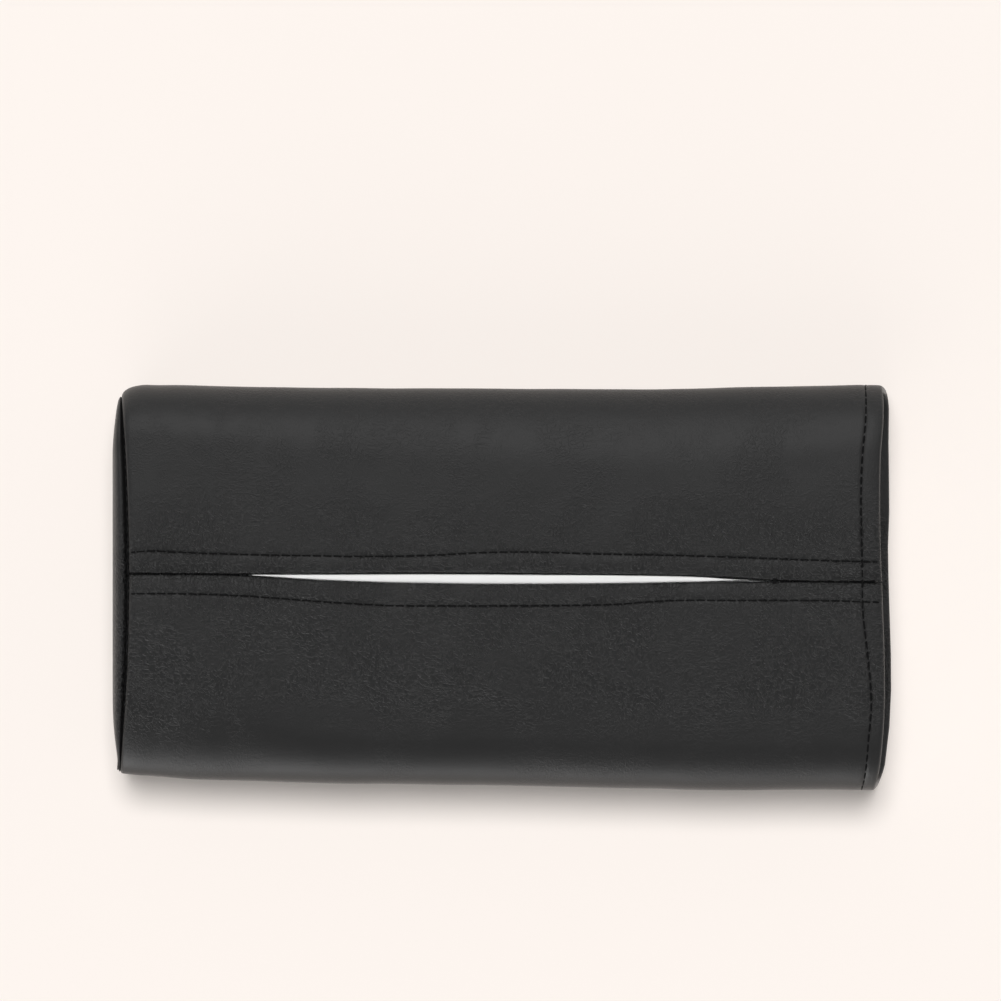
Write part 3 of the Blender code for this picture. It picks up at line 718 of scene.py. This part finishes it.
def finish_piece(thing, name, body, nodes, smooth=180):
    """Names a piece, settles its place into its mesh, hangs it on its body and hides the CAD nodes that it
    stands for.
    """
    settle(thing)
    thing.name = thing.data.name = name
    bpy.ops.object.shade_smooth_by_angle(angle=math.radians(smooth))
    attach(thing, body)
    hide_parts(*nodes)
    print(name, "has", len(thing.data.polygons), "faces")
    return thing


def finish_joined(things, name, finish, body, node, smooth):
    """The same for pieces that are joined first and share one finish."""
    take_up(*things)
    bpy.ops.object.join()
    put_on(things[0], [finish])
    return finish_piece(things[0], name, body, [node], smooth)


# %% [markdown]
# ## The wrap
# The real wrap is cut flat, its edges are folded and stitched, and it is closed into a tube. It is made the
# same way here: a flat grid, ruled with the rows and columns above, is laid round the section, its notches
# are cut out at the corners, and a Solidify modifier gives it the thickness of leather, inwards from the
# face that shows. A simulation isn't needed, because this leather is held in shape by its seams and the
# carton.
# %% Lay the flat panel round the section
bpy.ops.mesh.primitive_grid_add(x_subdivisions=len(ROWS) - 1, y_subdivisions=len(WRAP) - 1, size=1.0)
wrap = bpy.context.object
flat = np.empty(len(wrap.data.vertices) * 3)
wrap.data.vertices.foreach_get("co", flat)
flat = flat.reshape(-1, 3)
row_of = np.rint((flat[:, 0] + 0.5) * (len(ROWS) - 1)).astype(int)
column_of = np.rint((flat[:, 1] + 0.5) * (len(WRAP) - 1)).astype(int)
wrap.data.vertices.foreach_set("co", points[row_of, column_of].ravel())
put_on(wrap, [LEATHER_FINISH, LINING_FINISH, SLIT_SHADE_FINISH])
# The rear lip's turned-under roll takes the near-black finish, which paints the shade in the slit.
for face in wrap.data.polygons:
    rolled = [WRAP[column_of[corner]] for corner in face.vertices]
    if all(column.zone == "roll" and column.value <= 0 and column.side is REAR for column in rolled):
        face.material_index = 2         # the turned edge that peeps out in the slit
print("laid", len(flat), "points")

# %% [markdown]
# Where a turned end meets a lip there would be four layers. A leather worker cuts a notch there, and so
# does this cell: the turned rows lose their lip columns, and the lips' hidden layer stops short of the
# ends.
# %% Cut the notches
NOTCH_CROWN = 0.06          # share of the crown that a notch reaches over


def in_notch(index):
    row, column = ROWS[row_of[index]], WRAP[column_of[index]]
    if row.turned:
        on_crown = column.zone == "crown" and column.value < NOTCH_CROWN
        return on_crown or column.zone in ("roll", "near", "row")
    return column.under and row.anchor in ("sewn", "mouth")


start_editing(wrap)
cut_away = pick("VERT", lambda corner: in_notch(corner.index))
bpy.ops.mesh.delete(type="VERT")
stop_editing()
print("cut away", cut_away, "points at the notches")
apply_modifier(wrap, "SOLIDIFY", thickness=LEATHER, offset=-1, use_even_offset=True, material_offset=1,
               material_offset_rim=1)
finish_piece(wrap, "sleeve_wrap", "holder", ["leather_sleeve"])

# %% [markdown]
# ## The end panel
# A separate piece of leather closes the left end. The seam is sewn inside out, so the panel rises out of a
# narrow crevice beside the wrap's folded edge, rolls over and then stands flat. A circle gives the right
# number of corners, which are put on the seam. Its edge is extruded and each new ring is led along that
# roll. The last rings are drawn towards the middle and closed at the hub. The other way, the edge is
# extruded into the sleeve, which is the allowance that the seam holds.
# %% Seam ring of the end panel
PANEL_DEPTH = 2 * FOLD + 0.3 * MM
PANEL_ALLOWANCE = 4.6 * MM
FACE_X = -LENGTH / 2 - 0.4 * MM
RING = [column for column in WRAP if not column.under and column.zone != "roll"]


def skin_point(x, column, depth):
    """A point at a depth under the outer face."""
    y, z, way_y, way_z = lay_at(x, column)
    return Vector((x, y + way_y * depth, z + way_z * depth))


seam_ring = [skin_point(sewn_x(column) + FOLD, column, PANEL_DEPTH) for column in RING]
bpy.ops.mesh.primitive_circle_add(vertices=len(RING), radius=50 * MM, fill_type="NOTHING")
panel = bpy.context.object
for corner, point in zip(panel.data.vertices, seam_ring):
    corner.co = point
print("the seam is", round(sum(math.dist(a, b) for a, b in zip(seam_ring, seam_ring[1:])) / MM), "mm round")

# %% Lead it out of the crevice
# Shares of the way from the wrap's folded edge to the panel's face, and depths under the wrap's face in mm
PANEL_ROLL = [(0.0, 3.1), (0.06, 3.5), (0.12, 3.2), (0.19, 2.3), (0.28, 1.65), (0.42, 1.35), (0.58, 1.55),
              (0.73, 2.4), (0.86, 4.1), (0.95, 6.6)]
ROLL_HALF = 60 * MM                     # from the middle of the end to its corners
CORNER_START, CORNER_RUN = 0.62, 0.32   # where the roll begins to change, as shares of that
CORNER_INSET = 1.7 * MM
CREVICE_LOSS, ROLL_LOSS = 0.25, 0.66    # of depth at the corners, in the crevice and on the roll


def roll_point(column, share, depth):
    """A point of the panel's rolled edge. The roll is shallower towards the corners and on the walls."""
    fold_x = sewn_x(column)
    across = abs(lay_at(-LENGTH / 2, column)[0] - SEWN_MIDDLE) / ROLL_HALF
    corner = min(1.0, max(0.0, (across - CORNER_START) / CORNER_RUN))
    face_x = FACE_X + CORNER_INSET * corner ** 2
    shallow = 1 - corner * (CREVICE_LOSS if share < PANEL_ROLL[1][0] else ROLL_LOSS)
    return skin_point(fold_x + (face_x - fold_x) * share, column, depth * shallow * MM)


start_editing(panel, "EDGE")
ring_before = seam_ring
for share, depth in PANEL_ROLL:
    ring_now = [roll_point(column, share, depth) for column in RING]
    bpy.ops.mesh.extrude_edges_move()
    number = {tuple(point): index for index, point in enumerate(ring_before)}
    mesh = bmesh.from_edit_mesh(panel.data)
    for corner in mesh.verts:
        if corner.select:
            corner.co = ring_now[number[tuple(corner.co)]]
    bmesh.update_edit_mesh(panel.data)
    ring_before = ring_now
print("rings of the roll:", len(PANEL_ROLL))

# %% Close it towards the middle
# Shares of the panel's size, and of its bulge, that are left at each ring
PANEL_RINGS = [(0.90, 0.55), (0.76, 0.25), (0.60, 0.10), (0.42, 0.04), (0.22, 0.02)]
PANEL_MIDDLE = Vector((FACE_X, 2.15 * MM, HEIGHT / 2))
size_before, bulge_before = 1.0, 1.0
for size_now, bulge_now in PANEL_RINGS:
    bpy.ops.mesh.extrude_edges_move()
    across = size_now / size_before
    bpy.ops.transform.resize(value=(bulge_now / bulge_before, across, across), center_override=PANEL_MIDDLE)
    size_before, bulge_before = size_now, bulge_now
bpy.ops.mesh.extrude_edges_move()
bpy.ops.mesh.merge(type="CENTER")
seam_corners = {tuple(point) for point in seam_ring}
on_rim = pick("VERT", lambda corner: tuple(corner.co) in seam_corners)
bpy.ops.mesh.select_mode(type="EDGE")
bpy.ops.mesh.extrude_edges_move(TRANSFORM_OT_translate={"value": (PANEL_ALLOWANCE, 0, 0)})
bpy.ops.mesh.select_all(action="SELECT")
bpy.ops.mesh.normals_make_consistent(inside=False)
stop_editing()
print("corners on the seam:", on_rim, "of", len(RING))

# %% Give the panel its thickness
front_face = min(panel.data.polygons, key=lambda face: face.center.x)
if front_face.normal.x > 0:
    start_editing(panel)
    bpy.ops.mesh.flip_normals()
    stop_editing()
put_on(panel, [LEATHER_FINISH, LINING_FINISH])
apply_modifier(panel, "SOLIDIFY", thickness=LEATHER, offset=-1, material_offset=1, material_offset_rim=1)
finish_piece(panel, "sleeve_end_panel", "holder", ["left_end_panel"])

# %% [markdown]
# ## One stitch
# Every row is the same stitch over and over: a short length of thread that comes up through one hole, lies
# flat and goes down through the next. It is modelled once. A six-sided circle is extruded along the stitch,
# section by section. Copies, each with its own mesh, are then laid from hole to hole.
# %% Model a stitch
THREAD = 0.56 * MM
# Places along the stitch, as shares of the pitch, and heights of the thread's middle there, in mm
STITCH_PATH = [(0.05, -0.75), (0.10, -0.28), (0.19, -0.04), (0.5, 0.0), (0.81, -0.04), (0.90, -0.28),
               (0.95, -0.75)]


def model_stitch():
    """A stitch along X, from a hole at the origin to the next one, to be turned and stretched."""
    start = STITCH_PATH[0]
    bpy.ops.mesh.primitive_circle_add(vertices=6, radius=THREAD / 2, fill_type="NGON",
                                      location=(start[0] * PITCH, 0, start[1] * MM),
                                      rotation=(0, math.pi / 2, 0))
    stitch = settle(bpy.context.object)
    start_editing(stitch, "FACE")
    for before, after in zip(STITCH_PATH, STITCH_PATH[1:]):
        step = ((after[0] - before[0]) * PITCH, 0, (after[1] - before[1]) * MM)
        bpy.ops.mesh.extrude_region_move(TRANSFORM_OT_translate={"value": step})
    bpy.ops.mesh.select_all(action="SELECT")
    bpy.ops.mesh.normals_make_consistent(inside=False)
    stop_editing()
    return stitch


one_stitch = model_stitch()
print("one stitch has", len(one_stitch.data.polygons), "faces")

# %% Lay copies from hole to hole


def lay_stitch(start, stop, way):
    """A copy of the stitch from one hole to the next. way is the way out of the leather."""
    along = (stop - start).normalized()
    side = way.cross(along).normalized()
    stretch = (stop - start).length / PITCH
    turned = Matrix((along * stretch, side, along.cross(side))).transposed().to_4x4()
    return lay_copy(one_stitch, Matrix.Translation(start) @ turned)


def lay_row(name, holes, ways, node):
    """Stitches between following holes, with the way out of the leather for each."""
    stitches = [lay_stitch(start, stop, way) for start, stop, way in zip(holes, holes[1:], ways)]
    return finish_joined(stitches, name, THREAD_FINISH, "holder", node, smooth=60)


def skin_frame(x, column, depth):
    """A point under the outer face, and the way out of the leather there."""
    y, z, way_y, way_z = lay_at(x, column)
    lift = float(swell(np.array([x]), np.array([y]), np.array([z]))[0])
    way = Vector((0, -way_y, -way_z))
    return Vector((x, y, z)) + way * (lift - depth), way


# %% Rows behind and in front of the slit
STITCH_DEPTH = CHANNEL_DEPTH + DRAG_DEPTH - 0.02 * MM
SEWN_END_GAP = 0.5 * MM         # from the sewn end's edge to the first hole
MOUTH_END_GAP = 0.8 * MM        # from the last hole to the mouth's edge
FULL_STITCH_GAP = 1.4 * MM      # and from the last hole at the full pitch

for name, side, node in (("rear_lip_stitches", REAR, "rear_topstitch"),
                         ("front_lip_stitches", FRONT, "front_topstitch")):
    column = Column(side, "row", 0.0, False, None)
    start = float(sewn_edge(trace_at(side.row, -LENGTH / 2)))
    end = float(mouth_edge(trace_at(side.row, LENGTH / 2), HEIGHT))
    full = int((end - FULL_STITCH_GAP - HOLE_START) / PITCH)
    places = [start + SEWN_END_GAP] + [HOLE_START + step * PITCH for step in range(1, full + 1)]
    frames = [skin_frame(x, column, STITCH_DEPTH) for x in places + [end - MOUTH_END_GAP]]
    lay_row(name, [hole for hole, way in frames], [way for hole, way in frames], node)

# %% [markdown]
# The hem's row goes right round the mouth, over the two lips, down the walls and along the floor. Its holes
# are spread at an even pitch along a line through all the columns, in the channel of the pulled-in leather.
# %% Stitches round the mouth


def even_holes(frames, pitch, closed=True):
    """Holes at an even pitch along a line of points and ways out, with the ways out between the holes."""
    line, ways = zip(*(frames + frames[:1] if closed else frames))
    run = np.concatenate([[0], np.cumsum([(b - a).length for a, b in zip(line, line[1:])])])
    marks = np.linspace(0, run[-1], max(1, round(run[-1] / pitch)) + 1)

    def between(vectors, mark):
        return Vector([np.interp(mark, run, [vector[axis] for vector in vectors]) for axis in range(3)])

    holes = [between(line, mark) for mark in marks]
    return holes, [between(ways, mark) for mark in (marks[1:] + marks[:-1]) / 2]


hem_frames = [skin_frame(row_places(column)[1], column, STITCH_DEPTH) for column in RING]
lay_row("mouth_stitches", *even_holes(hem_frames, PITCH), "mouth_topstitch")

# %% [markdown]
# The end panel's seam is sewn inside out, so only glints of its thread show, deep in the groove between the
# folded edge and the panel.
# %% Stitches of the end seam
SEAM_DEPTH = 2 * FOLD + 1.0 * MM
SEAM_SET_BACK = 0.1 * MM
seam_frames = []
for column in RING:
    way_y, way_z = lay_at(sewn_x(column), column)[2:]
    out = Vector((-1, -way_y, -way_z)).normalized()
    seam_frames.append((skin_point(sewn_x(column) - SEAM_SET_BACK, column, SEAM_DEPTH), out))
lay_row("end_seam_stitches", *even_holes(seam_frames, PITCH), "end_seam_thread")

# %% [markdown]
# Past both ends of the slit the lips are sewn shut, edge to edge, by a hidden stitch of which short lengths
# show in the groove. A small knot across the lips stops the slit from tearing further.
# %% Seams and knots at the ends of the slit
CLOSED_LEFT = (-113.4 * MM, SLIT_START - 2.2 * MM)
CLOSED_RIGHT = (SLIT_STOP + 2.2 * MM, 116.0 * MM)
CLOSING_PITCH, CLOSING_DEPTH = 4.3 * MM, 0.75 * MM
KNOT_PLACES = {"left": SLIT_START - 0.7 * MM, "right": SLIT_STOP + 0.9 * MM}
KNOT_HALF, KNOT_SPREAD, KNOT_RISE = 1.3 * MM, 0.4 * MM, 0.05 * MM
UP = Vector((0, 0, 1))


def groove_point(x, rise):
    """A point over the line where the lips meet."""
    line = (trace_at(REAR.lip, x) + trace_at(FRONT.lip, x)) / 2
    return Vector((x, line, HEIGHT - float(draw_in(x)) - LIP_SINK + rise))


for name, reach in (("left", CLOSED_LEFT), ("right", CLOSED_RIGHT)):
    frames = [(groove_point(x, -CLOSING_DEPTH), UP) for x in np.linspace(*reach, 12)]
    holes, ways = even_holes(frames, CLOSING_PITCH, closed=False)
    lay_row("closing_stitches_" + name, holes, ways, "centre_seam_" + name)
for name, x in KNOT_PLACES.items():
    middle = groove_point(x, KNOT_RISE)
    turns = [lay_stitch(middle + Vector((shift, -KNOT_HALF, 0)), middle + Vector((shift, KNOT_HALF, 0)), UP)
             for shift in (-KNOT_SPREAD, 0, KNOT_SPREAD)]
    finish_joined(turns, "slit_knot_" + name, THREAD_FINISH, "holder", "slit_bartack_" + name,
                  smooth=60)
bpy.data.objects.remove(one_stitch)

# %% [markdown]
# ## The carton of tissues
# Inside is an ordinary flat carton of board. It starts as a cube at the size of its CAD node. Its folds are
# bevelled a little, because board never creases to a knife edge, and its top is inset and shaped into the
# long window. The window's corners are bevelled round, its face is deleted, and Solidify gives the board
# its thickness. The end flaps overlap on the two short ends. The film under the window is flat and slit, as
# in the CAD model, so it keeps that shape and takes its finish alone.
# %% A box with eased edges


def add_box(low, high):
    """A cube between two corners, with its size and place in its mesh."""
    bpy.ops.mesh.primitive_cube_add(size=1.0, location=(low + high) / 2, scale=high - low)
    return settle(bpy.context.object)


def add_eased_box(low, high, width, segments):
    """The same, with the edges that run along the cover bevelled round."""
    box = add_box(low, high)
    start_editing(box)
    pick("EDGE", lambda edge: abs(edge.verts[0].co.x - edge.verts[1].co.x) > 0.1 * MM)
    bpy.ops.mesh.bevel(offset=width, segments=segments)
    stop_editing()
    return box


# %% Carton body
BOARD = 0.6 * MM
CRUSHED_FOLD = 0.7 * MM             # width of the carton's bevelled folds
WINDOW_MARGIN = 12 * MM             # first inset, before the window takes its size
WINDOW = (170 * MM, 34 * MM)
SLIT_MIDDLE = Vector((2.6 * MM, 2.83 * MM))
carton_low, carton_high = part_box("refill_carton")
carton_size = carton_high - carton_low
to_middle = SLIT_MIDDLE - ((carton_low + carton_high) / 2).xy
carton = add_box(carton_low, carton_high)
start_editing(carton)
pick("EDGE")
bpy.ops.mesh.bevel(offset=CRUSHED_FOLD, segments=3)
pick("FACE", lambda face: face.normal.z > 0.99 and face.calc_area() > 0.01)      # the carton's top
bpy.ops.mesh.inset(thickness=WINDOW_MARGIN)
inner = [carton_size[axis] - 2 * (WINDOW_MARGIN + CRUSHED_FOLD) for axis in range(2)]
bpy.ops.transform.resize(value=(WINDOW[0] / inner[0], WINDOW[1] / inner[1], 1))
bpy.ops.transform.translate(value=(*to_middle, 0))
bpy.ops.mesh.select_mode(type="VERT")
bpy.ops.mesh.bevel(offset=WINDOW[1] / 2 * 0.99, segments=10, affect="VERTICES")
opened = pick("FACE", lambda face: face.normal.z > 0.99 and face.calc_area() > 0.004
              and (face.calc_center_median().xy - SLIT_MIDDLE).length < 8 * MM)
bpy.ops.mesh.delete(type="FACE")
stop_editing()
print("window faces opened:", opened)
apply_modifier(carton, "SOLIDIFY", thickness=BOARD, offset=-1, use_even_offset=True)

# %% Carton flaps
FLAP_BOARD = 0.32 * MM
FLAP_MARGIN, FLAP_CORNER = 1.2 * MM, 2.5 * MM
FLAP_REACHES = [(0.03, 0.62), (0.38, 0.97)]     # of the inner and the outer flap, as shares of the height
flaps = []
for end_x, outwards in ((carton_low.x, -1), (carton_high.x, 1)):
    for layer, (low_share, high_share) in enumerate(FLAP_REACHES):
        near, far = sorted(end_x + outwards * FLAP_BOARD * count for count in (layer, layer + 1))
        low = Vector((near, carton_low.y + FLAP_MARGIN, carton_low.z + carton_size.z * low_share))
        high = Vector((far, carton_high.y - FLAP_MARGIN, carton_low.z + carton_size.z * high_share))
        flaps.append(add_eased_box(low, high, FLAP_CORNER, 5))
finish_joined([carton] + flaps, "tissue_carton", CARD_FINISH, "refill", "refill_carton", smooth=40)

# %% Window film
film = bpy.data.objects["window_film"]
for material_slot in film.material_slots:
    material_slot.material = FILM_FINISH
print("the film's finish is", film.material_slots[0].material.name)

# %% [markdown]
# ## The stack of tissues
# The tissues lie folded in two halves that meet under the slit. One fold is modelled as a soft slab with
# round edges and copied up the stack, each copy shifted and turned by a hair, as stacked paper is.
# %% Stack
LAYERS = 26
HALVES_GAP = 1.2 * MM
SHIFT, TURN = 0.5 * MM, math.radians(0.12)      # the most that a layer is out of line
stack_low, stack_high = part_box("tissue_stack")
layer_height = (stack_high.z - stack_low.z) / LAYERS
jitter = random.Random(7)
folds = []
for low_y, high_y in ((stack_low.y, SLIT_MIDDLE.y - HALVES_GAP / 2),
                      (SLIT_MIDDLE.y + HALVES_GAP / 2, stack_high.y)):
    low = Vector((stack_low.x, low_y, stack_low.z))
    high = Vector((stack_high.x, high_y, stack_low.z + layer_height))
    first = add_eased_box(low, high, layer_height * 0.48, 3)
    folds.append(first)
    centre = Matrix.Translation((low + high) / 2)
    for layer in range(1, LAYERS):
        moved = Matrix.Translation((jitter.uniform(-SHIFT, SHIFT), 0, layer * layer_height)) @ centre
        turned = Matrix.Rotation(jitter.uniform(-TURN, TURN), 4, "Z")
        folds.append(lay_copy(first, moved @ turned @ centre.inverted()))
print("layers in the stack:", len(folds))
finish_joined(folds, "folded_tissues", PAPER_FINISH, "refill", "tissue_stack", smooth=50)

# %% [markdown]
# ## The leading tissue
# One tissue waits in the slit. It comes up through the film as a fold and stands between the two lips,
# close to the front one, so that the slit shows white with a fine dark line of shade behind. It got this
# form when the sheet before it drew it up. It is a thin sheet: its section is a line of points, led along
# the slit on a grid's corners, and given the thickness of two plies. Noise keeps its top from being a ruled
# line.
# %% Section of the leading tissue
# Distances from the middle of the slit and heights, in mm, of the stem and of the cap that fills the slit
STEM = [(0.14, 8.9), (0.14, 22.0), (0.14, 36.0)]
CAP_HALF, CAP_START, WAVY_START = 3.2, 47.0, 50.0
CAP = [(0.15, CAP_START), (0.35, 48.4), (1.3, WAVY_START), (2.4, 51.4), (3.05, 52.5), (CAP_HALF, 53.1),
       (2.75, 53.45), (1.8, 53.58), (0.9, 53.57)]
tissue_section = STEM + CAP + [(0.0, 53.54)] + [(-y, z) for y, z in (STEM + CAP)[::-1]]

# %% Lead it along the slit
TISSUE_STEPS = 104
TISSUE_START, TISSUE_STOP = -76.6 * MM, 76.5 * MM
TISSUE_PLIES = 0.12 * MM
REAR_GAP = [(-80, 0.05), (-74, 0.12), (-62, 0.42), (-40, 0.64), (0, 0.62), (25, 0.50), (62, 0.52), (80, 0.42)]
FRONT_GAP = 0.12 * MM
LEAST_HALF = 0.10 * MM      # of the cap's width, where the slit is narrow
TAPER = 0.10                # share of the sheet over which its right end narrows
bpy.ops.mesh.primitive_grid_add(x_subdivisions=TISSUE_STEPS, y_subdivisions=len(tissue_section) - 1, size=1.0)
tissue = bpy.context.object
for corner in tissue.data.vertices:
    share = corner.co.x + 0.5
    y, z = tissue_section[round((corner.co.y + 0.5) * (len(tissue_section) - 1))]
    x = TISSUE_START + (TISSUE_STOP - TISSUE_START) * share
    rear_lip, front_lip, rear_gap = (trace_at(line, x) for line in (REAR.lip, FRONT.lip, REAR_GAP))
    middle = (rear_lip + front_lip) / 2
    room = max(LEAST_HALF, rear_lip - middle - (rear_gap if y > 0 else FRONT_GAP))
    room *= min(1.0, (1 - share) / TAPER + 0.05)
    wave = noise.noise((x * 60, y * 0.25, 3.0)) * 0.22 * MM + noise.noise((x * 170, y * 0.5, 9.0)) * 0.10 * MM
    across = y / CAP_HALF * room if z > CAP_START else y * MM
    corner.co = (x, middle + across, z * MM + (wave if z > WAVY_START else 0.0))
apply_modifier(tissue, "SOLIDIFY", thickness=TISSUE_PLIES, offset=0)
put_on(tissue, [PAPER_FINISH])
finish_piece(tissue, "waiting_tissue", "leading_tissue", ["leading_tissue"], smooth=80)

# %% [markdown]
# ## Floor, light and camera
# A plain pale floor, a soft lamp almost overhead, a weak fill from the front and a faint glow from all
# round. They are set so that the floor renders pale and every colour about as it is written. The glow is
# faint because it would darken the floor all round the cover, and the photograph has shade on the near side
# alone. Leather needs something to mirror, as from a photographer's reflectors: two lamps do that, seen in
# reflections alone. The floor and the world show a little of their own tone to the camera and to
# reflections.
# %% Floor
PALE = (0.973, 0.905, 0.855)
FLOOR_GLOW = 0.18           # share of the floor's tone that shows through its shadows
FLOOR_GAP = 0.05 * MM       # keeps the floor off the leather's flat underside


def background_rays(finish):
    """1 for rays that show the background: straight, by way of a reflection or through a clear body."""
    shows = 0.0
    for kind in ("Is Camera Ray", "Is Glossy Ray", "Is Transmission Ray"):
        ray = finish.node("LightPath", output=kind)
        shows = finish.node("Math", {"operation": "MAXIMUM"}, {0: shows, 1: ray})
    return shows


def shaded(share):
    return tuple(share * tint for tint in PALE)


bpy.ops.mesh.primitive_plane_add(size=12.0, location=(0, 0, -FLOOR_GAP))
floor = bpy.context.object
floor.name = "studio_floor"
ground = new_finish("pale_paper_floor")
floor_glow = ground.tones(background_rays(ground), (0.0, 0.0, 0.0), shaded(FLOOR_GLOW))
put_on(floor, [ground.close(Base_Color=(*shaded(1 - FLOOR_GLOW), 1.0), Roughness=1.0, Specular_IOR_Level=0.0,
                            Emission_Color=floor_glow, Emission_Strength=1.0)])
floor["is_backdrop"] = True
print("the floor gives back", [round(tint, 2) for tint in shaded(1 - FLOOR_GLOW)])

# %% Lamps


def add_sun(name, strength, spread, lean, heading, diffuse=True, glossy=True):
    """A distant lamp of a given angular spread, leaning from the vertical towards a heading, in degrees."""
    bpy.ops.object.light_add(type="SUN")
    lamp = bpy.context.object
    lamp.name = name
    lamp.data.energy = strength * math.pi
    lamp.data.angle = math.radians(spread)
    lean, heading = math.radians(lean), math.radians(heading)
    towards = Vector((math.sin(lean) * math.cos(heading), math.sin(lean) * math.sin(heading), math.cos(lean)))
    lamp.rotation_euler = towards.to_track_quat("Z", "Y").to_euler()
    lamp.visible_diffuse = diffuse
    lamp.visible_glossy = glossy
    print(name, "gives", strength, "at", round(math.degrees(lean), 1), "degrees from the vertical")


add_sun("key_lamp", 0.86, 18, 10.5, 98, glossy=False)
add_sun("front_fill", 0.10, 60, 55, -112, glossy=False)
add_sun("rear_sheen", 0.165, 42, 26, 98, diffuse=False)
add_sun("front_sheen", 0.38, 44, 84, -112, diffuse=False)

# %% World
GLOW_LOW, GLOW_HIGH = 0.24, 0.10        # what matt surfaces get from the horizon and from overhead
SHOWN_LOW, SHOWN_HIGH = 1.0, 0.28       # what the camera and reflections see there
world = bpy.data.worlds.new("studio")
bpy.context.scene.world = world
sky = Finish(world)
height = sky.node("SeparateXYZ", None, {"Vector": sky.node("TexCoord")}, output="Z")
low = (1 - sky.node("Math", {"operation": "MAXIMUM"}, {0: height, 1: 0.0})) ** 2.0
glow, shown = (sky.node("Background", None, {"Color": (1.0, 1.0, 1.0, 1.0),
                                             "Strength": low * (at_horizon - overhead) + overhead})
               for at_horizon, overhead in ((GLOW_LOW, GLOW_HIGH), (SHOWN_LOW, SHOWN_HIGH)))
either = sky.node("MixShader", None, {0: background_rays(sky), 1: glow, 2: shown})
sky.node("OutputWorld", None, {"Surface": either})
print("world nodes:", len(world.node_tree.nodes))

# %% Camera
CAMERA_DISTANCE = 2.7
VIEW_WIDTH = 308.8 * MM
VIEW_MIDDLE = (-0.15 * MM, 26.7 * MM)
bpy.ops.object.camera_add(location=(*VIEW_MIDDLE, HEIGHT + CAMERA_DISTANCE), rotation=(0, 0, 0))
camera = bpy.context.object
camera.data.sensor_width = 36.0
camera.data.lens = camera.data.sensor_width * CAMERA_DISTANCE / VIEW_WIDTH
camera.data.clip_end = 50.0
bpy.context.scene.camera = camera
bpy.context.scene.view_settings.view_transform = "Standard"
print("lens:", round(camera.data.lens), "mm")

# %% [markdown]
# ## The box of the finished model
# Both boxes, of the CAD model and of the dressed model, are printed in millimetres. The dressed
# model may stand only a little proud of the CAD model.
# %% Print the sizes
size = {"cad": [list(corner) for corner in CAD_BOUNDS], "visual": [list(corner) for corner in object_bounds()]}
for which, box in size.items():
    print(which, "box, mm:", [[round(value / MM, 1) for value in corner] for corner in box])
